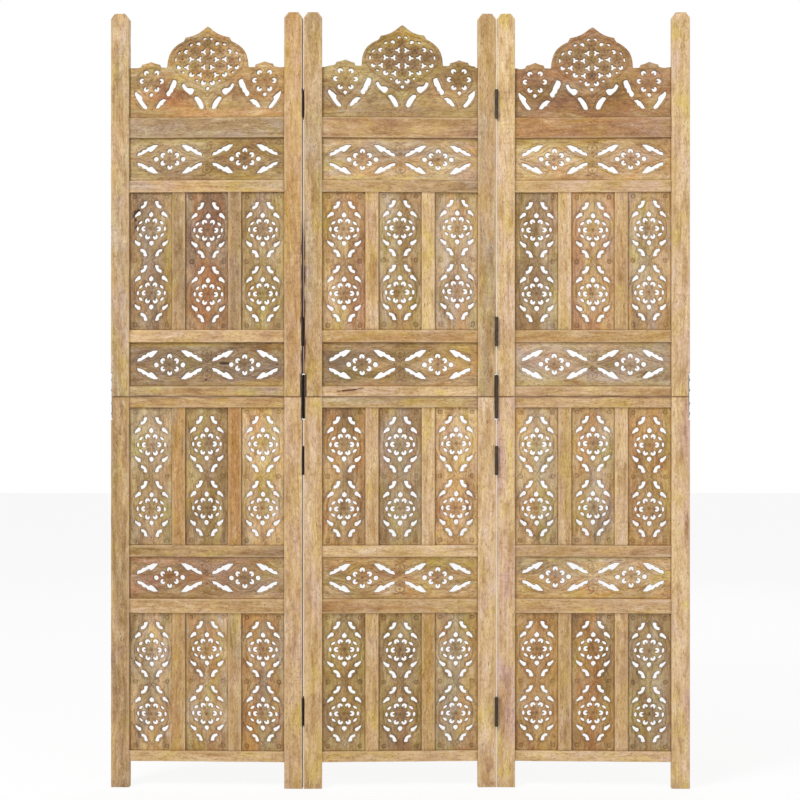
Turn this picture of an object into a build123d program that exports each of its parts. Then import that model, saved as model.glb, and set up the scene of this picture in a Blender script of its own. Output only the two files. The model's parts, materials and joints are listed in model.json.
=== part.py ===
from build123d import *
from math import cos, radians, sin
import os

# Carved jali screen: three framed panels, each an upper and a lower section,
# joined edge to edge by butt hinges so that the screen folds in a zigzag.
# Millimetres. +Z is up, the front is -Y, the origin is on the floor under the middle panel.
# Every panel is drawn about its own centre: x across, y through, z up from the floor.

# frame
panel_width = 410.0
stile_width = 39.0
stile_depth = 22.0
rail_depth = 20.0
post_rise = 222.0
post_chamfer_width = 8.0
post_chamfer_height = 14.0
section_seam = 0.3

# heights, from the floor up
foot_height = 56.0
bottom_rail_height = 22.0
jali_height = 294.0
lower_sill_height = 30.0
lower_frieze_height = 90.0
lower_head_height = 24.0
lower_top_rail_height = 23.0
upper_bottom_rail_height = 22.0
waist_frieze_height = 94.0
upper_sill_height = 26.0
upper_head_height = 25.0
upper_frieze_height = 91.0
top_rail_height = 43.0

# lattice
muntin_width = 28.0
muntin_depth = 18.0
jali_columns = 3

# carved boards in their grooves
board_depth = 8.0
tongue = 5.0
slip = 0.2
shoulder_gap = 0.1

# mortise and tenon joints
tenon_length = 20.0
tenon_depth = 9.0
tenon_shoulder = 3.0

# crest board, heights above its top rail
crest_shoulder = 107.0
crest_apex = 194.0

# carved figures
rosette_reach = 15.6
rosette_tall_reach = 18.5
rosette_tall_angle = 64.0
crescent_radius = 5.5
crescent_horn_angle = 69.0
crescent_arm_reach = 2.8
crescent_notch_width = 3.2
crescent_notch_floor = 0.8
jali_motif_spacing = 137.0
frieze_motif_spacing = 161.5

# folding
rest_half_fold = 2.4
panel_gap = 0.8
pivot_offset = 3.9

# butt hinges, with their leaves let into the edges of the uprights
hinge_length = 60.0
leaf_depth = 1.3
closed_leaf_gap = 0.2
barrel_radius = 3.5
pin_radius = 1.5
pin_fit = 0.05
knuckle_count = 5
knuckle_gap = 0.2
pin_cap_height = 1.0
lowest_hinge_rise = 161.0
hinge_below_seam = 136.0
hinge_above_seam = 139.0
highest_hinge_rise = 29.0

# long hinges and edge plates over the seam between the sections
long_hinge_length = 92.0
long_leaf_depth = 2.4
long_pin_radius = 1.8
notch_depth = 2.7
notch_end_gap = 3.0
leaf_setback = 1.0
plate_depth = 1.6
plate_width = 18.0

# wood screws
screw_radius = 1.5
screw_head_radius = 2.7
screw_length = 13.0
screw_fit = 0.1
pan_head_radius = 3.4
pan_head_height = 2.2
leaf_screw_spacing = 36.0
long_screw_offsets = (14.0, 36.0)

# worked out from the sizes above
half_width = panel_width / 2
opening_width = panel_width - 2 * stile_width
groove_depth = tongue + slip
groove_width = board_depth + 2 * slip
jali_width = (opening_width - (jali_columns - 1) * muntin_width) / jali_columns
jali_pitch = jali_width + muntin_width
pivot_x = half_width + panel_gap / 2
pivot_y = stile_depth / 2 + pivot_offset
leaf_recess = leaf_depth - (panel_gap - closed_leaf_gap) / 2
long_barrel_radius = panel_gap / 2 + notch_depth

lower_jali_base = foot_height + bottom_rail_height
lower_sill_base = lower_jali_base + jali_height
lower_frieze_base = lower_sill_base + lower_sill_height
lower_head_base = lower_frieze_base + lower_frieze_height
middle_jali_base = lower_head_base + lower_head_height
lower_top_rail_base = middle_jali_base + jali_height
seam_height = lower_top_rail_base + lower_top_rail_height
waist_frieze_base = seam_height + upper_bottom_rail_height
upper_sill_base = waist_frieze_base + waist_frieze_height
upper_jali_base = upper_sill_base + upper_sill_height
upper_head_base = upper_jali_base + jali_height
upper_frieze_base = upper_head_base + upper_head_height
top_rail_base = upper_frieze_base + upper_frieze_height
crest_base = top_rail_base + top_rail_height
screen_height = crest_base + post_rise
hinge_heights = (lowest_hinge_rise, seam_height - hinge_below_seam, seam_height + hinge_above_seam,
                 crest_base + highest_hinge_rise)


def block(x_low, x_high, y_low, y_high, z_low, z_high):
    """A box between two corners."""
    size = (x_high - x_low, y_high - y_low, z_high - z_low)
    return Solid.make_box(*size, plane=Plane(origin=(x_low, y_low, z_low)))


def rod(radius, start, direction, length):
    """A round bar from its start point."""
    return Solid.make_cylinder(radius, length, plane=Plane(origin=start, z_dir=direction))


def cut(body, tools):
    """The body with all the tools taken out, as a list of solids."""
    return list(body.cut(*tools).solids()) if tools else [body]


# ---- outlines, in x across and z up -------------------------------------------------------

def polygon(points):
    """A closed outline of straight runs."""
    return Wire.make_polygon([(x, 0, z) for x, z in points], close=True)


def arcs(tips, middles):
    """A closed outline of arcs from tip to tip, each through its middle point."""
    ends = tips[1:] + tips[:1]
    edges = [
        Edge.make_three_point_arc((a[0], 0, a[1]), (m[0], 0, m[1]), (b[0], 0, b[1]))
        for a, m, b in zip(tips, middles, ends)
    ]
    return Wire(edges)


def around(x, z, reach, angle):
    """The point at a reach and an angle in degrees from a centre."""
    return x + reach * cos(radians(angle)), z + reach * sin(radians(angle))


def crescent(x, z, facing, size=1.0):
    """A round hole with a petal tip that reaches into it, from the side at the given angle."""
    radius = crescent_radius * size

    def inside(ahead, aside):
        """A point by its way towards the petal and across it."""
        front = around(x, z, ahead * size, facing)
        return around(*front, aside * size, facing + 90)

    mouth = crescent_notch_width / 2
    mouth_reach = crescent_arm_reach - mouth / 2
    arm_middle = (mouth + crescent_radius * sin(radians(crescent_horn_angle))) / 2
    corners = [around(x, z, radius, facing + crescent_horn_angle),
               around(x, z, radius, facing - crescent_horn_angle),
               inside(mouth_reach, -mouth), inside(mouth_reach, mouth)]
    middles = [around(x, z, radius, facing + 180), inside(crescent_arm_reach, -arm_middle),
               inside(-crescent_notch_floor, 0), inside(crescent_arm_reach, arm_middle)]
    return arcs(corners, middles)


def lens(x, z, turn, length=10.0, width=5.0):
    """A pointed oval along the given angle."""
    tips = [around(x, z, length / 2, turn), around(x, z, length / 2, turn + 180)]
    return arcs(tips, [around(x, z, width / 2, turn + 90), around(x, z, width / 2, turn - 90)])


def drop(x, z, turn, size=1.0):
    """A bud with its point towards the given angle and a round base."""
    tip = around(x, z, 5.6 * size, turn)
    left = around(x, z, 4.4 * size, turn + 98)
    right = around(x, z, 4.4 * size, turn - 98)
    flank_left = around(x, z, 2.9 * size, turn + 52)
    flank_right = around(x, z, 2.9 * size, turn - 52)
    return arcs([tip, left, right], [flank_left, around(x, z, 4.2 * size, turn + 180), flank_right])


def star(x, z, turn, reach=6.4, waist=2.2):
    """A hole of three arms between three round flowers, with one arm towards the given angle."""
    arms = [turn, turn + 120, turn + 240]
    return arcs([around(x, z, reach, arm) for arm in arms], [around(x, z, waist, arm + 60) for arm in arms])


def moved(points, x, z, flip_x=1, flip_z=1):
    """Outline points mirrored across either axis and carried to a place."""
    return [(x + flip_x * px, z + flip_z * pz) for px, pz in points]


# leaves of the figure on a lattice board, upper right quarter, from the figure's centre
side_leaf = [
    (35.4, 24.4), (33.6, 30.0), (29.2, 34.0), (25.6, 36.6), (22.8, 34.0), (23.4, 30.4), (28.0, 28.6),
]
end_leaf = [
    (8.4, 58.6), (15.2, 58.0), (16.2, 52.2), (22.4, 48.6), (22.0, 43.4), (16.8, 44.6), (11.0, 49.8),
]

# leaf of the figure on a frieze, upper right quarter, from the figure's centre
frieze_leaf = [
    (25.2, 30.0), (34.8, 30.0), (40.5, 27.2), (47.4, 25.2), (51.2, 20.4), (58.0, 19.4), (61.4, 14.4),
    (67.6, 13.2), (69.8, 7.6), (58.8, 10.4), (48.0, 16.6), (40.4, 16.2),
]

# crest outline, left half, from the apex down to the shoulder beside the post
crest_outline = [
    (0.0, 0.0), (-11.0, -8.6), (-23.0, -16.0), (-34.5, -20.2), (-46.5, -22.6), (-51.0, -31.0),
    (-60.0, -35.5), (-68.5, -41.5), (-78.0, -51.5), (-83.8, -64.0), (-86.5, -77.0), (-87.0, -86.5),
    (-92.0, -87.0), (-101.0, -85.5), (-104.5, -81.5), (-113.0, -78.5), (-121.0, -74.5),
    (-129.5, -78.0), (-140.5, -81.5), (-143.5, -85.5), (-153.0, -88.0),
]

# serrated leaves of the crest, left half, heights above the top rail
crest_leaves = [
    [(-155.5, 56.2), (-146.3, 48.7), (-140.5, 42.8), (-141.3, 37.0), (-130.5, 22.8), (-132.2, 18.7),
     (-138.0, 21.2), (-146.3, 32.0), (-153.8, 43.7), (-156.7, 52.0)],
    [(-112.2, 21.7), (-109.7, 27.0), (-103.8, 35.3), (-96.3, 39.5), (-89.7, 37.8), (-95.5, 32.0),
     (-97.2, 27.8), (-102.2, 26.2), (-104.7, 22.3)],
    [(-73.8, 82.0), (-68.0, 79.5), (-66.8, 75.3), (-69.7, 65.3), (-73.8, 62.0), (-75.5, 55.3),
     (-79.7, 52.8), (-81.3, 47.0), (-85.5, 45.7), (-88.8, 49.5), (-88.8, 53.7), (-83.0, 60.3),
     (-80.5, 68.7), (-77.2, 75.3)],
    [(-51.3, 72.8), (-47.2, 65.3), (-43.8, 62.8), (-34.7, 62.8), (-30.0, 58.7), (-34.7, 50.3),
     (-38.8, 49.5), (-48.8, 57.8), (-53.0, 63.7), (-55.5, 70.3)],
    [(-28.8, 44.5), (-23.0, 45.0), (-16.3, 38.7), (-10.5, 28.7), (-8.8, 22.0), (-11.3, 18.7),
     (-16.3, 20.3), (-20.5, 27.8), (-24.7, 35.3)],
]


def jali_figure(x, z):
    """Rosette ring, outer ring, two buds and eight leaves of one lattice figure."""
    rosette = [crescent(*around(x, z, rosette_reach, turn), turn + 180) for turn in (0, 180)]
    for turn in (rosette_tall_angle, 180 - rosette_tall_angle, 180 + rosette_tall_angle, -rosette_tall_angle):
        rosette.append(crescent(*around(x, z, rosette_tall_reach, turn), turn + 180))
    ring = [lens(x - 29.3, z, 90), lens(x + 29.3, z, 90)]
    for flip_x in (-1, 1):
        for flip_z in (-1, 1):
            ring.append(lens(x + flip_x * 22.9, z + flip_z * 13.3, -flip_x * flip_z * 41))
    buds = [drop(x, z + 30.4, 90, 1.08), drop(x, z - 30.4, -90, 1.08)]
    leaves = [
        polygon(moved(leaf, x, z, flip_x, flip_z))
        for leaf in (side_leaf, end_leaf) for flip_x in (-1, 1) for flip_z in (-1, 1)
    ]
    return rosette + ring + buds + leaves


def frieze_figure(x, z):
    """Rosette ring, two round holes and four long leaves of one frieze figure."""
    rosette = [crescent(*around(x, z, rosette_reach + 1, turn), turn + 180) for turn in range(30, 390, 60)]
    dots = [lens(x - 28.5, z, 90, 9.2, 9.0), lens(x + 28.5, z, 90, 9.2, 9.0)]
    leaves = [
        polygon(moved(frieze_leaf, x, z, flip_x, flip_z)) for flip_x in (-1, 1) for flip_z in (-1, 1)
    ]
    return rosette + dots + leaves


def crest_figure():
    """Pierced figure of the crest: a field of small flowers, two side rosettes and the leaves."""
    holes = [drop(0, crest_base + 61.8, -90)]
    for side in (-1, 1):
        def at(x, height):
            return -side * x, crest_base + height

        def turned(angle):
            return angle if side < 0 else 180 - angle

        holes += [
            crescent(*at(-6.9, 167.2), turned(-60), 0.6),
            crescent(*at(-20.5, 157.0), turned(-118), 0.75),
            lens(*at(-35.5, 156.2), turned(28), 9.0, 4.6),
            crescent(*at(-46.0, 141.2), turned(-15), 0.85),
            lens(*at(-61.7, 138.3), turned(50), 11.0, 3.8),
            lens(*at(-68.8, 123.7), turned(88), 11.5, 3.8),
            crescent(*at(-62.0, 107.8), turned(60), 0.85),
            lens(*at(-53.0, 97.0), turned(-35), 6.6, 4.4),
            crescent(*at(-35.5, 92.6), turned(58), 1.0),
            lens(*at(-24.3, 79.5), turned(-35), 6.6, 4.4),
            crescent(*at(-9.7, 74.6), turned(60), 0.95),
            star(*at(-8.8, 139.7), turned(180)),
            star(*at(-18.2, 123.7), turned(180)),
            star(*at(-36.0, 124.6), turned(0)),
            star(*at(-8.8, 107.3), turned(180)),
            star(*at(-45.3, 107.6), turned(180)),
            star(*at(-17.4, 91.3), turned(180)),
        ]
        for turn in (0, 57, 123, 180, 237, 303):
            spot = around(-121.0, 78.6, 20.2, turn)
            holes.append(crescent(*at(*spot), turned(turn + 180)))
        holes.append(drop(*at(-121.5, 49.8), -90))
        holes += [polygon(moved(leaf, 0, crest_base, -side)) for leaf in crest_leaves]
    return holes


# ---- wooden pieces, each in its panel's own place ------------------------------------------

def pierced_board(outline, holes):
    """A flat board cut through in the given outlines."""
    face = Face(outline, holes)
    solid = Solid.extrude(face, Vector(0, board_depth, 0))
    return solid.moved(Location((0, -board_depth / 2, 0)))


def grooved_board(x_low, x_high, z_low, z_high, holes):
    """A rectangular board with its tongue all round the opening that it fills."""
    corners = [
        (x_low - tongue, z_low - tongue), (x_high + tongue, z_low - tongue),
        (x_high + tongue, z_high + tongue), (x_low - tongue, z_high + tongue),
    ]
    return pierced_board(polygon(corners), holes)


def jali_boards(base):
    """The carved lattice boards of one row."""
    boards = []
    for column in range(jali_columns):
        low = -opening_width / 2 + column * jali_pitch
        x = low + jali_width / 2
        z = base + jali_height / 2
        holes = jali_figure(x, z - jali_motif_spacing / 2) + jali_figure(x, z + jali_motif_spacing / 2)
        boards.append(grooved_board(low, low + jali_width, base, base + jali_height, holes))
    return boards


def frieze_board(base, height):
    """One carved board with two figures across it."""
    z = base + height / 2
    holes = frieze_figure(-frieze_motif_spacing / 2, z) + frieze_figure(frieze_motif_spacing / 2, z)
    return [grooved_board(-opening_width / 2, opening_width / 2, base, base + height, holes)]


def crest_board():
    """The pierced crest with its ogee outline, standing in the top rail and both posts."""
    edge = opening_width / 2 + tongue
    shoulder = crest_base + crest_shoulder
    left = moved(crest_outline, 0, crest_base + crest_apex) + [(-edge, shoulder)]
    right = [(-x, z) for x, z in left[:0:-1]]
    foot = [(-edge, crest_base - tongue), (edge, crest_base - tongue)]
    return [pierced_board(polygon(left + foot + right), crest_figure())]


def muntins(base):
    """The bars between the lattice boards of one row, with stub tenons in the rails."""
    bars = []
    for gap in range(1, jali_columns):
        x = -opening_width / 2 + gap * jali_pitch - muntin_width / 2
        half = muntin_width / 2
        bar = block(x - half, x + half, -muntin_depth / 2, muntin_depth / 2,
                    base + shoulder_gap, base + jali_height - shoulder_gap)
        stub = block(x - half + groove_depth + 1, x + half - groove_depth - 1, -board_depth / 2,
                     board_depth / 2, base - tongue, base + jali_height + tongue)
        grooves = [
            block(x + side * half - groove_depth, x + side * half + groove_depth, -groove_width / 2,
                  groove_width / 2, base, base + jali_height)
            for side in (-1, 1)
        ]
        bars += cut(bar.fuse(stub).solid(), grooves)
    return bars


def rail(base, height, groove_under, groove_over):
    """A cross rail with a tenon at each end and grooves for the boards."""
    reach = opening_width / 2 - shoulder_gap
    body = block(-reach, reach, -rail_depth / 2, rail_depth / 2, base, base + height)
    low_shoulder = groove_depth if groove_under else tenon_shoulder
    high_shoulder = groove_depth if groove_over else tenon_shoulder
    tenon = block(-reach - tenon_length, reach + tenon_length, -tenon_depth / 2, tenon_depth / 2,
                  base + low_shoulder, base + height - high_shoulder)
    grooves = []
    for wanted, level in ((groove_under, base), (groove_over, base + height)):
        if wanted:
            grooves.append(block(-panel_width, panel_width, -groove_width / 2, groove_width / 2,
                                 level - groove_depth, level + groove_depth))
    return cut(body.fuse(tenon).solid(), grooves)


def upper_rails():
    """The four rails of the upper section."""
    return (rail(seam_height + section_seam, upper_bottom_rail_height - section_seam, False, True)
            + rail(upper_sill_base, upper_sill_height, True, True)
            + rail(upper_head_base, upper_head_height, True, True)
            + rail(top_rail_base, top_rail_height, True, True))


def lower_rails():
    """The four rails of the lower section."""
    return (rail(foot_height, bottom_rail_height, False, True)
            + rail(lower_sill_base, lower_sill_height, True, True)
            + rail(lower_head_base, lower_head_height, True, True)
            + rail(lower_top_rail_base, lower_top_rail_height, True, False))


upper_mortises = [
    (seam_height, seam_height + upper_bottom_rail_height), (upper_sill_base, upper_jali_base),
    (upper_head_base, upper_frieze_base), (top_rail_base, crest_base),
]
lower_mortises = [
    (foot_height, lower_jali_base), (lower_sill_base, lower_frieze_base),
    (lower_head_base, middle_jali_base), (lower_top_rail_base, seam_height),
]


def stile(side, z_low, z_high, groove_low, groove_high, mortises, hinged):
    """An upright with its mortises, board groove, seam notch, pilot holes and, if hinged, leaf recesses."""
    outer = side * half_width
    inner = side * (half_width - stile_width)
    body = block(min(outer, inner), max(outer, inner), -stile_depth / 2, stile_depth / 2, z_low, z_high)
    tools = [box_at(inner, groove_depth, groove_width, groove_low, groove_high)]
    for low, high in mortises:
        tools.append(box_at(inner, tenon_length + slip, tenon_depth + 2 * slip,
                            max(low + tenon_shoulder - slip, z_low + tenon_shoulder - slip),
                            min(high - tenon_shoulder + slip, z_high - tenon_shoulder + slip)))
    notch_half = long_hinge_length / 2 + notch_end_gap
    tools.append(box_at(outer, notch_depth, stile_depth + 2, seam_height - notch_half,
                        seam_height + notch_half))
    screw_heights = list(long_screw_heights)
    if hinged:
        screw_heights += butt_screw_heights
        recess_half = hinge_length / 2 + slip
        tools += [box_at(outer, leaf_recess, stile_depth + 2, height - recess_half, height + recess_half)
                  for height in hinge_heights if z_low < height < z_high]
    for height in screw_heights:
        if z_low < height < z_high:
            start = (outer, 0, height)
            tools.append(rod(screw_radius + screw_fit, start, (-side, 0, 0), screw_length + notch_depth))
    if z_high > crest_base:
        tools += post_chamfers((outer + inner) / 2)
    return cut(body, tools)


def box_at(x, reach, depth, z_low, z_high):
    """A cutting box that reaches equally far to both sides of a vertical face at x."""
    return block(x - reach, x + reach, -depth / 2, depth / 2, z_low, z_high)


def post_chamfers(x):
    """The two wedges that slope the top of a post."""
    wedges = []
    for side in (-1, 1):
        corner = x + side * stile_width / 2
        outline = polygon([(corner - side * post_chamfer_width, screen_height),
                           (corner + side, screen_height),
                           (corner + side, screen_height - post_chamfer_height),
                           (corner, screen_height - post_chamfer_height)])
        wedge = Solid.extrude(Face(outline), Vector(0, stile_depth + 2, 0))
        wedges.append(wedge.moved(Location((0, -stile_depth / 2 - 1, 0))))
    return wedges


# ---- hinges, edge plates and screws ----------------------------------------------------------

butt_screw_heights = [z + d for z in hinge_heights for d in (-leaf_screw_spacing / 2, leaf_screw_spacing / 2)]
long_screw_heights = [seam_height + side * d for d in long_screw_offsets for side in (-1, 1)]


def hinge_leaf(side, back, z, length, inset, setback, thickness, radius, bore, parity):
    """One leaf with its own knuckles. side is the panel's edge, back the side of the barrel."""
    face = half_width - inset
    step = length / knuckle_count
    low = z - length / 2
    plate = block(min(side * face, side * (face + thickness)), max(side * face, side * (face + thickness)),
                  min(-back * stile_depth / 2, back * (stile_depth / 2 - setback)),
                  max(-back * stile_depth / 2, back * (stile_depth / 2 - setback)), low, low + length)
    parts = []
    for index in range(knuckle_count):
        if index % 2 == parity:
            start = low + index * step + knuckle_gap / 2
            end = start + step - knuckle_gap
            parts.append(rod(radius, (side * pivot_x, back * pivot_y, start), (0, 0, 1), end - start))
            near = back * (stile_depth / 2 - setback - 0.5)
            far = back * pivot_y
            parts.append(block(min(side * face, side * (face + thickness)),
                               max(side * face, side * (face + thickness)),
                               min(near, far), max(near, far), start, end))
    leaf = plate.fuse(*parts).solid()
    holes = [rod(bore, (side * pivot_x, back * pivot_y, low - 1), (0, 0, 1), length + 2)]
    return cut(leaf, holes)


def leaf_screw_cone(side, x_face, z, clearance):
    """The sunk head of a wood screw, its wide end at the leaf's face."""
    plane = Plane(origin=(side * x_face, 0, z), z_dir=(-side, 0, 0))
    height = screw_head_radius - screw_radius
    return Solid.make_cone(screw_head_radius + clearance, screw_radius + clearance, height, plane=plane)


def leaves(side, back, parity):
    """All the leaves that one panel carries along one edge, with their screw holes."""
    plates = []
    for z in hinge_heights:
        plates += hinge_leaf(side, back, z, hinge_length, leaf_recess, 0, leaf_depth, barrel_radius,
                             pin_radius + pin_fit, parity)
    plates += hinge_leaf(side, back, seam_height, long_hinge_length, notch_depth, leaf_setback,
                         long_leaf_depth, long_barrel_radius, long_pin_radius + pin_fit, parity)
    drilled = []
    for plate in plates:
        box = plate.bounding_box()
        tools = []
        for x_face, heights in ((half_width - leaf_recess + leaf_depth, butt_screw_heights),
                                (half_width - notch_depth + long_leaf_depth, long_screw_heights)):
            for z in heights:
                if box.min.Z < z < box.max.Z:
                    tools.append(leaf_screw_cone(side, x_face, z, screw_fit))
                    tools.append(rod(screw_radius + screw_fit, (side * (x_face + 1), 0, z),
                                     (-side, 0, 0), long_leaf_depth + 3))
        drilled += cut(plate, tools)
    return drilled


def leaf_screws(side):
    """The sunk wood screws of all the leaves along one edge."""
    screws = []
    for x_face, heights in ((half_width - leaf_recess + leaf_depth, butt_screw_heights),
                            (half_width - notch_depth + long_leaf_depth, long_screw_heights)):
        for z in heights:
            head = leaf_screw_cone(side, x_face, z, 0)
            shank = rod(screw_radius, (side * x_face, 0, z), (-side, 0, 0), screw_length)
            screws.append(head.fuse(shank).solid())
    return screws


def hinge_pins(side, back):
    """The pins of one joint, each with a cap at both ends."""
    pins = []
    sizes = [(z, hinge_length, pin_radius, barrel_radius) for z in hinge_heights]
    sizes.append((seam_height, long_hinge_length, long_pin_radius, long_barrel_radius))
    for z, length, radius, barrel in sizes:
        low = z - length / 2 - knuckle_gap / 2
        foot = (side * pivot_x, back * pivot_y, low - pin_cap_height)
        top = (side * pivot_x, back * pivot_y, low + length + knuckle_gap)
        shank = rod(radius, foot, (0, 0, 1), length + knuckle_gap + 2 * pin_cap_height)
        caps = [rod(barrel * 0.85, place, (0, 0, 1), pin_cap_height) for place in (foot, top)]
        pins.append(shank.fuse(*caps).solid())
    return pins


def edge_plate(side):
    """The flat plate that ties the two sections together on a free edge."""
    floor = half_width - notch_depth
    low = min(side * floor, side * (floor + plate_depth))
    half = long_hinge_length / 2
    plate = block(low, low + plate_depth, -plate_width / 2, plate_width / 2,
                  seam_height - half, seam_height + half)
    holes = [rod(screw_radius + screw_fit, (side * (floor - 1), 0, z), (side, 0, 0), plate_depth + 2)
             for z in long_screw_heights]
    return cut(plate, holes)


def plate_screws(side):
    """The pan-headed screws of an edge plate."""
    face = half_width - notch_depth + plate_depth
    screws = []
    for z in long_screw_heights:
        head = rod(pan_head_radius, (side * face, 0, z), (side, 0, 0), pan_head_height)
        head = head.fillet(pan_head_height * 0.6, [head.edges().sort_by(Axis.X)[-1 if side > 0 else 0]])
        shank = rod(screw_radius, (side * (face + 0.5), 0, z), (-side, 0, 0), screw_length + 0.5)
        screws.append(head.fuse(shank).solid())
    return screws


# ---- the three panels at rest -----------------------------------------------------------------

def rest_places():
    """Where each panel stands: the middle one turned one way, its neighbours the other."""
    fold = radians(rest_half_fold)
    middle = Location((0, 0, 0), (0, 0, rest_half_fold))
    places = {"middle": middle}
    for name, side in (("left", -1), ("right", 1)):
        back = -side
        x = side * pivot_x
        y = back * pivot_y
        joint = (x * cos(fold) - y * sin(fold), x * sin(fold) + y * cos(fold))
        own_x = -side * pivot_x * cos(-fold) - y * sin(-fold)
        own_y = -side * pivot_x * sin(-fold) + y * cos(-fold)
        centre = (joint[0] - own_x, joint[1] - own_y, 0)
        places[name] = Location(centre, (0, 0, -rest_half_fold))
    return places


def write_node(name, solids, place):
    """Put a node's solids in their panel's place and write them to one file."""
    placed = [solid.moved(place) for solid in solids]
    shape = placed[0] if len(placed) == 1 else Compound(children=placed)
    shape.label = name
    export_step(shape, "parts/" + name + ".step")


def uprights(hinged_sides):
    """The four uprights of a panel. hinged_sides names the edges that carry hinges."""
    groove_top = crest_base + crest_shoulder
    upper = (seam_height + section_seam, screen_height, waist_frieze_base - groove_depth, groove_top,
             upper_mortises)
    lower = (0, seam_height, lower_jali_base - groove_depth, lower_top_rail_base + groove_depth,
             lower_mortises)
    nodes = {}
    for name, side in (("left", -1), ("right", 1)):
        nodes["upper_stile_" + name] = stile(side, *upper, name in hinged_sides)
        nodes["lower_stile_" + name] = stile(side, *lower, name in hinged_sides)
    return nodes


def frame_and_boards():
    """The wooden pieces that are the same in every panel."""
    return {
        "upper_rails": upper_rails(),
        "lower_rails": lower_rails(),
        "upper_muntins": muntins(upper_jali_base),
        "lower_muntins": muntins(middle_jali_base) + muntins(lower_jali_base),
        "crest_board": crest_board(),
        "upper_frieze": frieze_board(upper_frieze_base, upper_frieze_height),
        "waist_frieze": frieze_board(waist_frieze_base, waist_frieze_height),
        "lower_frieze": frieze_board(lower_frieze_base, lower_frieze_height),
        "upper_jali": jali_boards(upper_jali_base),
        "middle_jali": jali_boards(middle_jali_base),
        "lower_jali": jali_boards(lower_jali_base),
    }


def main():
    os.makedirs("parts", exist_ok=True)
    places = rest_places()
    boards = frame_and_boards()
    hinged_sides = {"left": ("right",), "middle": ("left", "right"), "right": ("left",)}
    for panel, place in places.items():
        for piece, solids in {**uprights(hinged_sides[panel]), **boards}.items():
            write_node(panel + "_" + piece, solids, place)

    left, middle, right = places["left"], places["middle"], places["right"]
    write_node("left_hinge_leaves", leaves(1, 1, 1), left)
    write_node("middle_hinge_leaves_left", leaves(-1, 1, 0), middle)
    write_node("middle_hinge_leaves_right", leaves(1, -1, 0), middle)
    write_node("right_hinge_leaves", leaves(-1, -1, 1), right)
    write_node("left_joint_pins", hinge_pins(-1, 1), middle)
    write_node("right_joint_pins", hinge_pins(1, -1), middle)
    write_node("left_hinge_screws", leaf_screws(1), left)
    write_node("middle_hinge_screws", leaf_screws(-1) + leaf_screws(1), middle)
    write_node("right_hinge_screws", leaf_screws(-1), right)
    write_node("left_edge_plate", edge_plate(-1), left)
    write_node("right_edge_plate", edge_plate(1), right)
    write_node("left_plate_screws", plate_screws(-1), left)
    write_node("right_plate_screws", plate_screws(1), right)


main()
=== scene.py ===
import json
import math
import bpy
import numpy as np
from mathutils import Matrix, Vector


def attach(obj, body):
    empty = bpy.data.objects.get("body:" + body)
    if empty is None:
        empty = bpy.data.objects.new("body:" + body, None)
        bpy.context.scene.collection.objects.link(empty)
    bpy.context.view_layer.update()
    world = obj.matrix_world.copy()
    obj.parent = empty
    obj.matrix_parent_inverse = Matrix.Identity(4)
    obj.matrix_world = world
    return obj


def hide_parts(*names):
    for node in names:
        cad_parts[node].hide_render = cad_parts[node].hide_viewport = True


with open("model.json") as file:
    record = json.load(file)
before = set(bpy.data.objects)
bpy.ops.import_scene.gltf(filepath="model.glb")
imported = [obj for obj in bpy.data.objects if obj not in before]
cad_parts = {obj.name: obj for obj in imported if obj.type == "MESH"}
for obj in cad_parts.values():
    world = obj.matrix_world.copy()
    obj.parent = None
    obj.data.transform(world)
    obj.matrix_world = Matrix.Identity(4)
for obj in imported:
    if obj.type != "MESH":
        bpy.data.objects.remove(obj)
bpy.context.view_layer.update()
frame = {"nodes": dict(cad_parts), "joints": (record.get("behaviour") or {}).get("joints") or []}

# Everything below is drawn in millimetres about each panel's own centre: x across, y through
# (front is minus), z up from the floor. placed() carries it into the frame, in metres.

mm = 0.001

screen = {
    "halfFold": 2.4,           # each panel is turned this many degrees, the middle one the other way
    "width": 410.0, "height": 1650.0, "seam": 833.0,
    "stileWidth": 39.0, "stileDepth": 22.0, "railDepth": 20.0,
    "muntinWidth": 28.0, "muntinDepth": 18.0, "boardDepth": 8.0,
    "notchDepth": 2.7, "notchHalf": 49.0,
    "leafRecess": 1.0, "recessHalf": 30.2, "hingeHeights": (161.0, 697.0, 972.0, 1457.0),
    "postChamferWidth": 8.6, "postChamferHeight": 11.5,
    "crestApex": 194.0,
    "figureSpacing": 137.0, "friezeSpacing": 161.5,
}
lowerStack = [("foot", 56), ("rail", 22), ("jali", 294), ("rail", 30), ("frieze", 90), ("rail", 24),
              ("jali", 294), ("rail", 23)]
upperStack = [("rail", 22), ("frieze", 94), ("rail", 26), ("jali", 294), ("rail", 25), ("frieze", 91),
              ("rail", 43), ("crest", 194)]

openingWidth = screen["width"] - 2 * screen["stileWidth"]
jaliWidth = (openingWidth - 2 * screen["muntinWidth"]) / 3


# Base and height of every member of a section, from its lowest upwards.
def levelsOf(stack, start):
    levels, base = {}, start
    for kind, height in stack:
        levels.setdefault(kind, []).append((base, height))
        base += height
    return levels


lowerLevels = levelsOf(lowerStack, 0.0)
upperLevels = levelsOf(upperStack, screen["seam"])


# Turn and centre of each panel, from the fold and the frame's own hinge axes.
def panelPlaces():
    turn = math.radians(screen["halfFold"])
    places = {"middle": (turn, 0.0, 0.0)}
    for joint in frame["joints"]:
        x, y, z = [value / mm for value in joint["pos_m"]]
        pivotX = x * math.cos(turn) + y * math.sin(turn)
        pivotY = -x * math.sin(turn) + y * math.cos(turn)
        ownX = -pivotX * math.cos(turn) + pivotY * math.sin(turn)
        ownY = pivotX * math.sin(turn) + pivotY * math.cos(turn)
        places[joint["child"].replace("_panel", "")] = (-turn, x - ownX, y - ownY)
    return places


places = panelPlaces()


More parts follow.
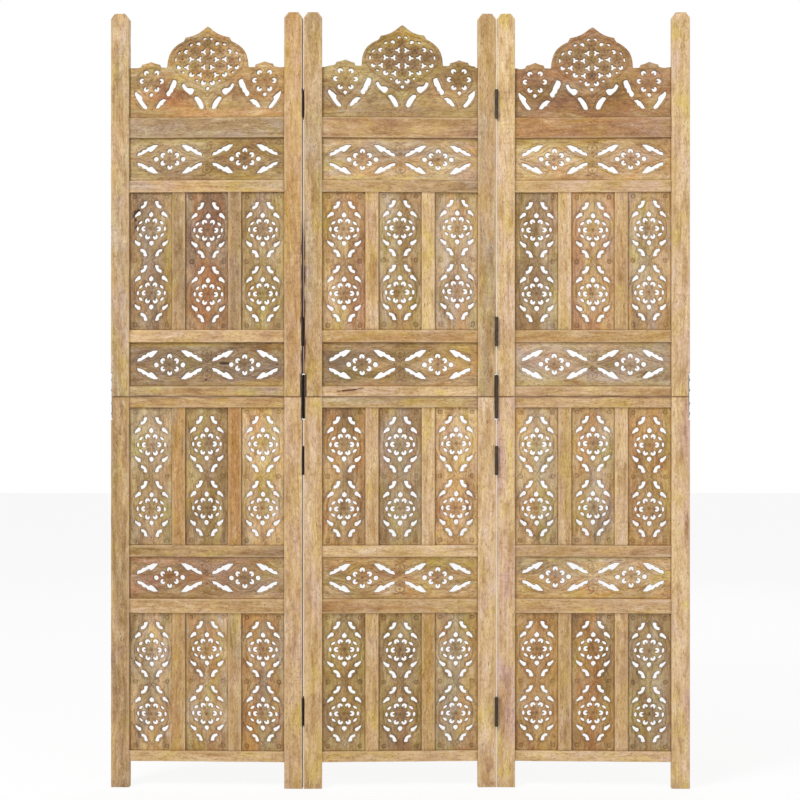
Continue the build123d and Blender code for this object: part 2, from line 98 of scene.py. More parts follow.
# Panel millimetres to frame metres: turn about z, then shift.
def placed(points, panel):
    turn, cx, cy = places[panel]
    x, y, z = points[:, 0], points[:, 1], points[:, 2]
    return np.stack([x * math.cos(turn) - y * math.sin(turn) + cx,
                     x * math.sin(turn) + y * math.cos(turn) + cy, z], 1) * mm


# Small helpers for fields and lines.

# Smooth unevenness, about -1 to 1: a sum of sine waves in random directions.
def ripple(x, z, seed, length, count=6):
    rng = np.random.default_rng(seed)
    total = np.zeros_like(x, dtype=float)
    for turn, phase, stretch in zip(rng.uniform(0, math.pi, count), rng.uniform(0, 2 * math.pi, count),
                                    rng.uniform(0.6, 1.6, count)):
        total += np.sin((x * math.cos(turn) + z * math.sin(turn)) * 2 * math.pi / (length * stretch) + phase)
    return total / math.sqrt(count)


# 0 below low, 1 above high, with an eased ramp between.
def softStep(value, low, high):
    t = np.clip((value - low) / (high - low), 0, 1)
    return t * t * (3 - 2 * t)


# The place at a reach and an angle in degrees from a centre.
def polar(reach, degrees, cx=0.0, cz=0.0):
    a = math.radians(degrees)
    return cx + reach * math.cos(a), cz + reach * math.sin(a)


# Distance from every place to the nearest run of an open line.
def lineDistance(x, z, points):
    best = np.full(x.shape, 1e9)
    for (ax, az), (bx, bz) in zip(points[:-1], points[1:]):
        dx, dz = bx - ax, bz - az
        t = np.clip(((x - ax) * dx + (z - az) * dz) / (dx * dx + dz * dz + 1e-12), 0, 1)
        best = np.minimum(best, np.hypot(x - ax - t * dx, z - az - t * dz))
    return best


# Signed distance to a closed outline: negative inside, counted by edge crossings.
def polygonField(x, z, points):
    inside = np.zeros(x.shape, bool)
    closed = list(points) + [points[0]]
    for (ax, az), (bx, bz) in zip(closed[:-1], closed[1:]):
        if az != bz:
            crosses = (az > z) != (bz > z)
            inside ^= crosses & (x < (bx - ax) * (z - az) / (bz - az) + ax)
    distance = lineDistance(x, z, closed)
    return np.where(inside, -distance, distance)


# Catmull-Rom curve through given points.
def smoothLine(points, perLeg=5):
    p = np.array([points[0]] + list(points) + [points[-1]], float)
    t = np.linspace(0, 1, perLeg, endpoint=False)[:, None]
    legs = [0.5 * (2 * b + (c - a) * t + (2 * a - 5 * b + 4 * c - d) * t ** 2
                   + (3 * b - 3 * c + d - a) * t ** 3)
            for a, b, c, d in zip(p[:-3], p[1:-2], p[2:-1], p[3:])]
    return np.concatenate(legs + [p[-2:-1]]).tolist()


# Section of a cut made with a V gouge: deepest on its line, out to nothing at half its width.
def vCut(distance, width, depth):
    return depth * np.clip(1 - distance / (width / 2), 0, 1)


# V cuts of one kind along several lines; where they cross, the deepest wins.
def engraved(x, z, lines, kind):
    width, depth = gougeCuts[kind]
    return np.max([vCut(lineDistance(x, z, line), width, depth) for line in lines], 0)


def flipped(points, flipX, flipZ):
    return [(flipX * px, flipZ * pz) for px, pz in points]


quarters = [(-1, -1), (-1, 1), (1, -1), (1, 1)]


# Holes.

rosette = {"reach": 15.8, "tallReach": 18.8, "tallAngle": 64.0, "crescent": 5.8, "armReach": 3.5,
           "notchFloor": 0.2, "notchWidth": 2.6}


# A disc cut off straight on the facing side, with a petal's round tip that reaches into it there.
# The facing angle is in degrees.
def crescentField(x, z, cx, cz, facing, size=1.0):
    c, s = polar(1, facing)
    ahead = ((x - cx) * c + (z - cz) * s) / size
    aside = ((z - cz) * c - (x - cx) * s) / size
    disc = np.maximum(np.hypot(ahead, aside) - rosette["crescent"], ahead - rosette["armReach"])
    half = rosette["notchWidth"] / 2
    tip = np.hypot(np.minimum(ahead - half + rosette["notchFloor"], 0), aside) - half
    return np.maximum(disc, -tip) * size


# The overlap of two equal discs: a pointed oval along the turn angle.
def lensField(x, z, cx, cz, turn, length=11.6, width=5.6):
    radius = (length ** 2 / 4 + width ** 2 / 4) / width
    away = radius - width / 2
    c, s = polar(1, turn)
    one = np.hypot(x - cx + away * s, z - cz - away * c)
    two = np.hypot(x - cx - away * s, z - cz + away * c)
    return np.maximum(one, two) - radius


# A bud: a disc joined to a point that stands out along the turn angle.
def dropField(x, z, cx, cz, turn, size=1.0):
    c, s = polar(1, turn)
    along = (x - cx) * c + (z - cz) * s
    side = np.abs(-(x - cx) * s + (z - cz) * c)
    disc = np.hypot(along + 0.2 * size, side) - 4.1 * size
    cone = side * 0.86 + along * 0.5 - 2.9 * size
    return np.minimum(disc, np.maximum(cone, -along))


# Three short arms between three round flowers: three capsules from the middle.
def starField(x, z, cx, cz, turn, size=1.0):
    tips = [polar(4.6 * size, turn + arm, cx, cz) for arm in (0, 120, 240)]
    return np.min([lineDistance(x, z, [(cx, cz), tip]) for tip in tips], 0) - 2.2 * size


sideLeaf = [(35.4, 24.2), (34.6, 28.6), (30.6, 33.2), (27.2, 36.6), (23.6, 35.6), (22.9, 32.2), (24.6, 29.4),
            (28.6, 28.6), (31.6, 26.4)]
endLeaf = [(8.3, 58.8), (14.8, 58.4), (16.0, 55.6), (15.4, 52.6), (18.4, 49.6), (22.3, 48.4), (22.4, 43.6),
           (17.6, 44.4), (13.4, 47.2), (10.6, 51.6)]
friezeLeaf = [(25.2, 30.0), (34.8, 30.0), (40.5, 27.2), (43.5, 26.0), (47.4, 25.2), (49.0, 22.6), (51.2, 20.4),
              (54.6, 20.2), (58.0, 19.4), (59.4, 16.6), (61.4, 14.4), (65.0, 14.2), (67.6, 13.2), (69.8, 7.6),
              (64.0, 8.6), (58.8, 10.4), (53.4, 13.6), (48.0, 17.2), (44.6, 19.0), (40.4, 16.0), (36.0, 18.4),
              (31.0, 24.0)]


# Leaves cut a little larger than their outlines.
def leafField(x, z, outlines):
    return np.min([polygonField(x, z, outline) for outline in outlines], 0) - 0.75


# Petal holes on a ring, each facing the middle: an angle and a reach for each.
def petalRing(x, z, ring, cx=0.0, cz=0.0):
    return [crescentField(x, z, *polar(reach, a, cx, cz), a + 180) for a, reach in ring]


def evenPetals(count, phase, reach):
    return [(phase + k * 360 / count, reach) for k in range(count)]


# Holes of one lattice figure about its own centre.
def jaliHoles(x, z):
    tall = rosette["tallAngle"]
    ring = [(0, rosette["reach"]), (180, rosette["reach"])]
    ring += [(a, rosette["tallReach"]) for a in (tall, 180 - tall, 180 + tall, -tall)]
    holes = petalRing(x, z, ring) + [lensField(x, z, s * 29.3, 0, 90) for s in (-1, 1)]
    holes += [lensField(x, z, fx * 22.9, fz * 13.3, -fx * fz * 41) for fx, fz in quarters]
    holes += [dropField(x, z, 0, s * 30.4, s * 90, 1.24) for s in (-1, 1)]
    leaves = [flipped(leaf, fx, fz) for leaf in (sideLeaf, endLeaf) for fx, fz in quarters]
    return np.minimum(np.min(holes, 0), leafField(x, z, leaves))


# Holes of one frieze figure about its own centre.
def friezeHoles(x, z):
    holes = petalRing(x, z, evenPetals(6, 30, rosette["reach"] + 1))
    holes += [np.hypot(x - s * 28.5, z) - 5.2 for s in (-1, 1)]
    return np.minimum(np.min(holes, 0), leafField(x, z, [flipped(friezeLeaf, fx, fz) for fx, fz in quarters]))


# Carving.

carving = {"edgeRound": 1.5, "edgeDepth": 1.0, "petalReach": 5.6, "petalScoop": 1.4, "flowerScoop": 2.0,
           "hubHole": 2.8, "bowl": 1.5, "outlineWear": 1.6, "outlineDepth": 0.9}
# Width and depth of each kind of V cut.
gougeCuts = {"line": (2.6, 1.9), "vein": (1.9, 1.0), "curl": (3.0, 2.3), "corner": (3.0, 1.8),
             "sprig": (3.0, 1.6)}


# Scooped petals round a drilled hub: each petal is a shallow dish, deepest towards its own tip.
def rosetteCuts(x, z, petals, petalRadius=carving["petalReach"], scoop=carving["petalScoop"]):
    tips = [polar(reach, angle) for angle, reach in petals]
    nearest = np.min([np.hypot(x - px, z - pz) for px, pz in tips], 0)
    away = np.hypot(x, z)
    dish = scoop * np.clip(1 - (nearest / petalRadius) ** 2, 0, 1) * softStep(away, 1.0, 7.0)
    bowl = carving["bowl"] * softStep(-away / petalRadius, -1.75, -0.5)
    hub = carving["hubHole"] * softStep(-away, -3.4, -1.4)
    return np.max([dish, bowl, hub], 0)


jaliPetals = [(0, 8.6), (180, 8.6), (64, 11.2), (116, 11.2), (244, 11.2), (296, 11.2)]
jaliLines = [
    smoothLine([(0, 63), (5, 55.5), (8, 48.5), (13.5, 41.8), (18.8, 38.2), (20, 32), (21.5, 27.4), (27.5, 25.4),
                (33, 20.6), (35.6, 12), (36, 0)]),
    smoothLine([(4.5, 65), (12.5, 62.5), (19.2, 59.2), (21, 53.6), (26.4, 50.6), (27.2, 44), (27.2, 40.6),
                (33, 37.2), (37.6, 31.6), (39.8, 24), (42.6, 17)]),
    smoothLine([(0, 22.8), (8.5, 24.6), (16.5, 21.2), (23.4, 7.6), (24.0, 0)]),
]
jaliVeins = [[(11.4, 60.4), (11.8, 55.6)], [(19.6, 52.2), (18.4, 48.4)], [(31.2, 35.2), (29.4, 31.6)],
             [(36.6, 28.4), (33.8, 26.6)]]
friezeLines = [
    smoothLine([(0, 24.6), (9, 23.6), (19, 19), (28, 12.6), (37, 9.6), (47, 6.4), (60, 2.6), (73, 0)]),
    smoothLine([(18, 34.5), (28, 35.2), (37, 34), (45, 31), (52, 27.4), (60, 24.6), (67, 20.2), (73, 14), (78, 7)]),
    smoothLine([(14, 30), (22, 26), (30, 19), (38, 13.4), (48, 11.4)]),
]
friezeVeins = [[(36, 29), (38.6, 24.6)], [(47, 25.2), (48.2, 21.4)], [(57, 19.4), (57.6, 15.6)]]


# An engraved spiral: its reach falls evenly to nothing as it turns.
def curl(cx, cz, radius, hand, turns=1.6, start=0.0):
    t = np.linspace(0, 1, 36)
    a = start + hand * t * turns * 2 * math.pi
    r = radius * (1 - 0.88 * t)
    return np.stack([cx + r * np.cos(a), cz + r * np.sin(a)], 1).tolist()


# Engraved lines of a figure that is the same in all four quarters.
def figureCuts(x, z, lines, veins):
    ax, az = np.abs(x), np.abs(z)
    return np.maximum(engraved(ax, az, lines, "line"), engraved(ax, az, veins, "vein"))


# The knife-rounded rim of a hole: deepest at the edge, out to nothing at its own width.
def holeEdge(field):
    t = np.clip(1 - field / carving["edgeRound"], 0, 1)
    return carving["edgeDepth"] * t * t


# Cutting a flat sheet along a field.

# A triangle grid kept where the field is positive and cut exactly where it is nought.
# Corners that lie almost on the line are drawn onto it; other crossings get a point of their own.
# Gives the points, the triangles and the border runs with the wood on their left.
def cutSheet(width, height, step, field):
    xs = np.linspace(-width / 2, width / 2, int(round(width / step)) + 1)
    zs = np.linspace(-height / 2, height / 2, int(round(height / step)) + 1)
    gx, gz = np.meshgrid(xs, zs)
    x, z = gx.ravel().copy(), gz.ravel().copy()
    f = field(x, z)
    e = 0.05
    slopeX = (field(x + e, z) - field(x - e, z)) / (2 * e)
    slopeZ = (field(x, z + e) - field(x, z - e)) / (2 * e)
    near = np.abs(f) < 0.32 * step
    scale = np.where(near, f / (slopeX ** 2 + slopeZ ** 2 + 1e-9), 0)
    x -= np.clip(scale * slopeX, -step / 2, step / 2)
    z -= np.clip(scale * slopeZ, -step / 2, step / 2)
    f[near] = 0
    rows, cols = len(zs), len(xs)
    i, j = np.meshgrid(np.arange(rows - 1), np.arange(cols - 1), indexing="ij")
    a = (i * cols + j).ravel()
    b, c, d = a + 1, a + cols + 1, a + cols
    even = ((i + j) % 2 == 0).ravel()
    tri = np.concatenate([np.stack([a, b, c], 1)[even], np.stack([a, c, d], 1)[even],
                          np.stack([a, b, d], 1)[~even], np.stack([b, c, d], 1)[~even]])
    wood = f[tri] > 0
    count = wood.sum(1)
    whole = tri[count == 3]

    def turnedTo(rowsOf, flags):
        first = np.argmax(flags, 1)
        return np.stack([rowsOf[np.arange(len(rowsOf)), (first + k) % 3] for k in range(3)], 1)

    one = turnedTo(tri[count == 1], wood[count == 1])
    two = turnedTo(tri[count == 2], ~wood[count == 2])
    pairs = np.concatenate([one[:, [0, 1]], one[:, [0, 2]], two[:, [1, 0]], two[:, [2, 0]]])
    key, spot = np.unique(pairs, axis=0, return_inverse=True)
    t = f[key[:, 0]] / (f[key[:, 0]] - f[key[:, 1]])
    onCorner = f[key[:, 1]] == 0
    index = np.where(onCorner, key[:, 1], len(x) + np.cumsum(~onCorner) - 1)
    k0, k1, tt = key[~onCorner, 0], key[~onCorner, 1], t[~onCorner]
    x = np.concatenate([x, x[k0] + tt * (x[k1] - x[k0])])
    z = np.concatenate([z, z[k0] + tt * (z[k1] - z[k0])])
    spot = index[spot.ravel()]
    n1, n2 = len(one), len(two)
    e01, e02 = spot[:n1], spot[n1:2 * n1]
    g10, g20 = spot[2 * n1:2 * n1 + n2], spot[2 * n1 + n2:]
    faces = np.concatenate([whole, np.stack([one[:, 0], e01, e02], 1),
                            np.stack([two[:, 1], two[:, 2], g20], 1), np.stack([two[:, 1], g20, g10], 1)])
    real = (faces[:, 0] != faces[:, 1]) & (faces[:, 1] != faces[:, 2]) & (faces[:, 2] != faces[:, 0])
    border = np.concatenate([np.stack([e01, e02], 1), np.stack([g20, g10], 1)])
    # A run that comes up both ways has wood on both sides, so it gets no wall.
    _, run, ways = np.unique(np.sort(border, 1), axis=0, return_inverse=True, return_counts=True)
    border = border[(ways[run.ravel()] == 1) & (border[:, 0] != border[:, 1])]
    faces = faces[real]
    used = np.unique(faces)
    renumber = np.full(len(x), -1)
    renumber[used] = np.arange(len(used))
    return x[used], z[used], renumber[faces], renumber[border]


# Front and back surfaces over one sheet, joined by walls along every border.
def boardSolid(sheet, frontDepth, backDepth):
    x, z, faces, border = sheet
    n = len(x)
    half = screen["boardDepth"] / 2
    points = np.concatenate([np.stack([x, -half + frontDepth, z], 1), np.stack([x, half - backDepth, z], 1)])
    p, q = border[:, 0], border[:, 1]
    walls = np.stack([p, p + n, q + n, q], 1)
    return points, np.concatenate([faces, faces[:, ::-1] + n]), walls


# Wood pieces as meshes.

# What every point tells the wood finish, and how many numbers each fact has.
woodData = {"grain": 3, "tone": 4, "patch": 4, "stain": 4, "carve": 1, "wear": 1, "margin": 1, "weather": 1}
attributeKinds = {1: ("FLOAT", "value"), 3: ("FLOAT_VECTOR", "vector"), 4: ("FLOAT_COLOR", "color")}


def linkedObject(name, data):
    made = bpy.data.objects.new(name, data)
    bpy.context.scene.collection.objects.link(made)
    return made


# One object from several solids. Each part gives points, triangles, quads and its wood facts.
def meshPiece(name, parts, panel, node):
    corners, sizes, smooth, base = [], [], [], 0
    for part in parts:
        for faces, isSmooth in ((part["triangles"], True), (part["quads"], part["quadsSmooth"])):
            corners.append((faces + base).ravel())
            sizes.append(np.full(len(faces), faces.shape[1]))
            smooth.append(np.full(len(faces), isSmooth))
        base += len(part["points"])
    corners, sizes = np.concatenate(corners), np.concatenate(sizes)
    mesh = bpy.data.meshes.new(name)
    mesh.vertices.add(base)
    mesh.vertices.foreach_set("co", np.concatenate([placed(part["points"], panel) for part in parts]).ravel())
    mesh.loops.add(len(corners))
    mesh.loops.foreach_set("vertex_index", corners.astype(np.int32))
    mesh.polygons.add(len(sizes))
    mesh.polygons.foreach_set("loop_start", (np.cumsum(sizes) - sizes).astype(np.int32))
    mesh.polygons.foreach_set("loop_total", sizes.astype(np.int32))
    mesh.update(calc_edges=True)
    mesh.polygons.foreach_set("use_smooth", np.concatenate(smooth))
    for fact, size in woodData.items():
        kind, field = attributeKinds[size]
        values = [np.broadcast_to(np.reshape(part[fact], (-1, size)), (len(part["points"]), size))
                  for part in parts]
        mesh.attributes.new(fact, kind, "POINT").data.foreach_set(field, np.concatenate(values).ravel())
    mesh.validate()
    mesh.materials.append(mangoWood)
    piece = linkedObject(name, mesh)
    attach(piece, panel + "_panel")
    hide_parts(node)
    return piece


# Wood tones, by name, as they look in plain light (red, green, blue of 255).
woodTones = {
    "cream": (222, 192, 148), "pale": (212, 180, 135), "tan": (202, 167, 118), "wheat": (192, 158, 108),
    "honey": (188, 148, 92), "amber": (180, 132, 74), "olive": (174, 149, 94), "grey": (174, 153, 121),
    "ash": (188, 165, 130), "umber": (162, 133, 93), "russet": (166, 124, 82), "rose": (190, 150, 118),
    "smoke": (144, 121, 95), "moss": (186, 160, 80), "rust": (170, 108, 54), "walnut": (146, 88, 40),
    "blush": (208, 172, 144), "lavender": (186, 160, 142),
}


# A named tone as the linear colour that a shader takes.
def linear(name):
    value = np.array(woodTones[name]) / 255
    return np.append(np.where(value <= 0.04045, value / 12.92, ((value + 0.055) / 1.055) ** 2.4), 1.0)


# Grain coordinates in metres (along, across, through) from a random start, and the tones.
# The grain wanders a little sideways along the piece. A stain is a place, a reach across and
# up, a tone and a strength, and fades out as a bell curve.
def woodFacts(points, alongZ, seed, tones, carve=0.0, wear=0.0, margin=0.0, stains=(), weather=0.0):
    rng = np.random.default_rng(seed)
    x, y, z = points[:, 0], points[:, 1], points[:, 2]
    lean = rng.uniform(-0.04, 0.04)
    along, across = (z, x) if alongZ else (x, z)
    wander = 2.2 * ripple(along, across * 0.8, seed + 11, 210) + 0.8 * ripple(along, across, seed + 12, 70)
    grain = np.stack([along + lean * across, across - lean * along + wander, y], 1) * mm
    stain = np.zeros((len(points), 4))
    for sx, sz, reachX, reachZ, name, strength in stains:
        bell = strength * np.exp(-((x - sx) / reachX) ** 2 - ((z - sz) / reachZ) ** 2)
        stronger = bell > stain[:, 3]
        stain[stronger, :3] = linear(name)[:3]
        stain[stronger, 3] = bell[stronger]
    return {"grain": grain + rng.uniform(0, 20, 3), "tone": linear(tones[0]), "patch": linear(tones[1]),
            "stain": stain, "carve": carve, "wear": wear, "margin": margin, "weather": weather}


# Carved boards.

sheetStep = 1.8
tuck = 1.5                     # how far a board reaches in behind its frame


# Distance in from the edge of a rectangle about the origin: positive inside.
def rectangleField(x, z, width, height):
    return np.minimum(width / 2 - np.abs(x), height / 2 - np.abs(z))


# Heights from the middle of the nearer one of a lattice board's two figures.
def figureHeight(z):
    apart = screen["figureSpacing"] / 2
    return np.where(z > 0, z - apart, z + apart)


def jaliField(x, z):
    return jaliHoles(x, figureHeight(z))


# Carving of one lattice board: the two figures, and curls and sprigs at its waist and ends.
def jaliDepth(x, z):
    local = figureHeight(z)
    cuts = [holeEdge(jaliHoles(x, local)), rosetteCuts(x, local, jaliPetals),
            figureCuts(x, local, jaliLines, jaliVeins)]
    for middle in (0, screen["figureSpacing"]):
        side, high = np.abs(x), np.abs(np.abs(z) - middle)
        cuts += [engraved(side, high, [curl(33.5, 0, 7.5, 1, 1.5, math.pi)], "curl"),
                 engraved(side, high, [smoothLine([(2, 0), (5.5, 3.6), (7.5, 9)])], "sprig")]
    return np.max(cuts, 0)


def friezeField(x, z):
    return friezeHoles(np.abs(x) - screen["friezeSpacing"] / 2, z)


crossingLines = [[(0, 9), (4, 16), (9.5, 20), (9, 27), (4.5, 30.5)], [(0, 12), (2.2, 20), (0, 27)],
                 [(0, 30), (5, 35), (12, 36)], [(0, 4), (4, 8), (9, 10.5), (16, 9)]]


# Carving of one frieze: the two figures, the crossing between them and the curls in the corners.
def friezeDepth(x, z):
    side, high = np.abs(x), np.abs(z)
    local = side - screen["friezeSpacing"] / 2
    corner = curl(openingWidth / 2 - 12, 33, 6.5, -1, 1.4, math.pi)
    return np.max([holeEdge(friezeHoles(local, z)),
                   rosetteCuts(local, z, evenPetals(6, 30, 9.6)), figureCuts(local, z, friezeLines, friezeVeins),
                   engraved(side, high, [smoothLine(line) for line in crossingLines], "curl"),
                   engraved(side, high, [corner], "corner")], 0)


crestOutline = [(0.0, 0.0), (-5.5, -3.4), (-11.0, -8.0), (-17.0, -12.4), (-23.0, -16.0), (-28.8, -18.6),
                (-34.5, -20.4), (-40.5, -21.8), (-46.5, -22.6), (-48.6, -27.4), (-51.0, -31.0), (-55.5, -33.2),
                (-60.0, -35.5), (-64.3, -38.3), (-68.5, -41.5), (-73.6, -46.0), (-78.0, -51.5), (-81.4, -57.5),
                (-83.8, -64.0), (-85.5, -70.5), (-86.5, -77.0), (-87.0, -86.0), (-88.2, -87.6), (-93.0, -87.4),
                (-100.4, -87.0), (-101.6, -84.6), (-102.8, -80.8), (-108.6, -79.6), (-113.0, -78.0),
                (-117.2, -76.4), (-121.0, -74.5), (-125.2, -76.0), (-129.5, -77.6), (-135.0, -79.2),
                (-140.4, -80.2), (-141.4, -83.4), (-142.8, -85.9), (-148.0, -87.2), (-153.0, -88.0),
                (-160.0, -87.4), (-168.0, -86.6)]
crestLeaves = [
    [(-155.5, 56.2), (-151.4, 52.0), (-146.3, 48.7), (-140.8, 43.6), (-141.6, 37.6), (-136.6, 30.6),
     (-130.5, 22.8), (-132.2, 18.7), (-138.0, 21.2), (-146.3, 32.0), (-153.8, 43.7), (-156.7, 52.0)],
    [(-112.2, 21.7), (-109.7, 27.0), (-103.8, 35.3), (-96.3, 39.5), (-89.7, 37.8), (-95.5, 32.6),
     (-97.2, 27.8), (-102.2, 26.4), (-104.7, 22.3), (-109.0, 20.6)],
    [(-73.8, 82.0), (-68.0, 79.5), (-66.8, 75.3), (-68.4, 70.0), (-69.7, 65.3), (-73.8, 62.2), (-75.5, 55.3),
     (-79.7, 53.0), (-81.3, 47.0), (-85.5, 45.7), (-88.8, 49.5), (-88.8, 53.7), (-83.0, 60.3),
     (-80.5, 68.7), (-77.2, 75.3)],
    [(-51.3, 72.8), (-47.2, 65.3), (-43.8, 62.8), (-34.7, 62.8), (-30.0, 58.7), (-32.0, 54.0), (-34.7, 50.3),
     (-38.8, 49.5), (-43.8, 53.7), (-48.8, 57.8), (-53.0, 63.7), (-55.5, 70.3)],
    [(-28.8, 44.5), (-23.0, 45.0), (-16.3, 38.7), (-12.6, 33.4), (-10.5, 28.7), (-8.8, 22.0), (-11.3, 18.7),
     (-16.3, 20.3), (-20.5, 27.8), (-24.7, 35.3), (-28.4, 40.6)],
]
crestFlowers = [(0, 155.0), (-27.2, 140.0), (0, 123.7), (-53.4, 123.7), (-27.2, 107.3), (0, 90.6)]
crestLines = [
    smoothLine([(0, 53), (-9, 62), (-20, 68.5), (-33, 74), (-46, 82), (-58, 90), (-68, 99), (-76, 110),
                (-78, 124), (-74, 137), (-66, 148), (-54, 156), (-44, 162), (-34, 166.6), (-22, 168.6),
                (-11, 174.6), (0, 181)]),
    smoothLine([(0, 43), (-8, 52), (-18, 58.4), (-26, 62)]),
    smoothLine([(-121.5, 40), (-112, 47), (-101, 56), (-93, 68), (-92, 82), (-97, 94), (-108, 101.6), (-121, 105),
                (-134, 101.6), (-145, 94), (-150, 82), (-149, 68), (-141, 56), (-131, 47), (-121.5, 40)]),
    smoothLine([(-92, 60), (-84, 78), (-72, 88)]),
    smoothLine([(-64, 80), (-66, 66), (-74, 50), (-84, 38), (-92, 30)]),
    smoothLine([(-62, 72), (-58, 60), (-48, 50), (-36, 43), (-30, 36), (-24, 26), (-20, 15)]),
    smoothLine([(-4, 18), (-6, 30), (-12, 42), (-18, 50)]),
    smoothLine([(-160, 40), (-150, 26), (-138, 14)]), smoothLine([(-120, 14), (-112, 32), (-100, 44), (-88, 44)]),
    curl(-60, 41, 8, 1, 1.6, -0.8), curl(-70, 30, 6, -1, 1.4, 2.2),
]


# Holes of the crest's left half, heights above its own foot: the form, its place and what it takes.
crestShapes = [
    (crescentField, -6.9, 167.2, -60, 0.62), (crescentField, -20.5, 157.0, -118, 0.8),
    (lensField, -35.5, 156.2, 28, 9.0, 4.6), (crescentField, -46.0, 141.2, -15, 0.88),
    (lensField, -61.7, 138.3, 50, 11.0, 3.8), (lensField, -68.8, 123.7, 88, 11.5, 3.8),
    (crescentField, -62.0, 107.8, 60, 0.88), (lensField, -53.0, 97.0, -35, 6.6, 4.4),
    (crescentField, -35.5, 92.6, 58, 1.0), (lensField, -24.3, 79.5, -35, 6.6, 4.4),
    (crescentField, -9.7, 74.6, 60, 1.0), (dropField, 0, 61.8, -90, 0.95), (starField, -8.8, 139.7, 180),
    (starField, -18.2, 123.7, 180), (starField, -36.0, 124.6, 0), (starField, -8.8, 107.3, 180),
    (starField, -45.3, 107.6, 180), (starField, -17.4, 91.3, 180), (dropField, -121.5, 49.8, -90),
]
crestRosette = (-121.0, 78.6)


def crestSide(x, z):
    holes = [form(x, z, *place) for form, *place in crestShapes]
    holes += petalRing(x, z, [(a, 20.2) for a in (0, 57, 123, 180, 237, 303)], *crestRosette)
    return np.minimum(np.min(holes, 0), leafField(x, z, crestLeaves))


# z is counted from half the crest's apex height, as cutSheet centres its grid.
def crestHoles(x, z):
    return crestSide(-np.abs(x), z + screen["crestApex"] / 2)


# Positive inside the ogee outline of the whole crest.
def crestEdge(x, z):
    apex = screen["crestApex"] / 2
    left = [(px, apex + pz) for px, pz in crestOutline]
    foot = [(-168.0, -apex - tuck), (0.0, -apex - tuck)]
    return -polygonField(-np.abs(x), z, left + foot + [(6.0, -apex - tuck), (6.0, apex)])


# Carving of the crest: its small flowers, the side rosettes, the ogee lines and curls, and the worn outline.
def crestDepth(x, z):
    side, high = -np.abs(x), z + screen["crestApex"] / 2
    cuts = [rosetteCuts(side - cx, high - cz, evenPetals(5, 90, 6.6), 4.6, carving["flowerScoop"])
            for cx, cz in crestFlowers]
    return np.max(cuts + [
        holeEdge(crestHoles(x, z)),
        rosetteCuts(side - crestRosette[0], high - crestRosette[1], evenPetals(6, 0, 11.5), 6.6),
        engraved(side, high, crestLines, "line"),
        carving["outlineDepth"] * np.clip(1 - crestEdge(x, z) / carving["outlineWear"], 0, 1) ** 2], 0)


# A sheet cut along its holes and its outline: the lesser of the two fields, on a grid with a margin.
def sheetOf(width, height, inner, outer):
    def field(x, z):
        return np.minimum(inner(x, z), outer(x, z))
    return cutSheet(width + 3 * sheetStep, height + 3 * sheetStep, sheetStep, field)


# How uneven the hand work is: how far figures drift and wobble, how much the depth varies, and the swell
# and facets of the faces, the deeper facets round the figures.
handWork = {"driftAcross": 1.0, "driftUp": 1.5, "wobble": 0.45, "wobbleLength": 70, "depthVaries": 0.15,
            "swell": 0.25, "facets": 0.07, "figureFacets": 0.15}


# One hand-carved copy of a board: its figures drift a little, its cuts vary in depth, its face is uneven.
# cuts are the depth of the carving and the distance to the nearest hole. Pits are a place, a reach and a depth.
# The edges that the frame holds stay where they are; a board with a free top is held at its foot and sides.
def carvedBoard(sheet, cuts, size, centre, alongZ, seed, tones, pits=(), stains=(), shift=(0.0, 0.0),
                freeTop=False):
    rng = np.random.default_rng(seed)
    x, z, faces, border = sheet
    depth, holeAway = cuts
    inFrom = rectangleField(x, np.minimum(z, 0) if freeTop else z, *size)
    hold = softStep(inFrom, 0, 14)
    across, up, varies = handWork["driftAcross"], handWork["driftUp"], handWork["depthVaries"]
    wobble, length = handWork["wobble"], handWork["wobbleLength"]
    driftX, driftZ = shift[0] + rng.uniform(-across, across), shift[1] + rng.uniform(-up, up)
    nx = x + hold * (driftX + wobble * ripple(x, z, seed + 1, length))
    nz = z + hold * (driftZ + wobble * ripple(x, z, seed + 2, length))
    front = depth * (rng.uniform(1 - varies, 1 + varies) + varies * ripple(x, z, seed + 3, 45))
    facets = handWork["facets"] + handWork["figureFacets"] * softStep(-holeAway, -12.0, -5.0)
    level = handWork["swell"] * ripple(nx, nz, seed + 4, 120) + facets * ripple(nx, nz, seed + 5, 9)
    # The dark mark: deeper cuts are darker, partly stain pooled in them and partly painted shade, and the rim of
    # every hole gets painted shade as if its wall shaded it.
    cutDirtAndShade = np.maximum(0.95 * np.clip(front / 2.5, 0, 1) ** 1.15, 0.62 * softStep(-holeAway, -1.9, -0.2))
    for px, pz, reachX, reachZ, deep in pits:
        pit = np.clip(1 - np.hypot((nx - px) / reachX, (nz - pz) / reachZ), 0, 1)
        front = np.maximum(front, deep * pit ** 0.5)
        cutDirtAndShade = np.maximum(cutDirtAndShade, 2.0 * softStep(pit, 0.0, 0.4))
    # Painted shade, partly dirt, along the edges where the board sits recessed in its frame.
    cutDirtAndShade = np.maximum(cutDirtAndShade, 0.75 * softStep(-inFrom, -3.2, 0.0))
    back = 0.45 * np.clip(depth, 0, 1) + 0.12 * ripple(nx, nz, seed + 6, 30)
    points, triangles, walls = boardSolid((nx, nz, faces, border), front + level + 0.3, back + 0.1)
    margin = np.tile(softStep(holeAway, 4.0, 14.0) * (0.3 + 0.7 * softStep(-inFrom, -12, -2)), 2)
    local = points.copy()
    points = points + np.array([centre[0], 0.0, centre[1]])
    facts = woodFacts(local, alongZ, seed, tones, np.concatenate([cutDirtAndShade, 0.4 * cutDirtAndShade]), 0.0, margin, stains, 1.0)
    return {"points": points, "triangles": triangles, "quads": walls, "quadsSmooth": False, **facts}


# Frame members.

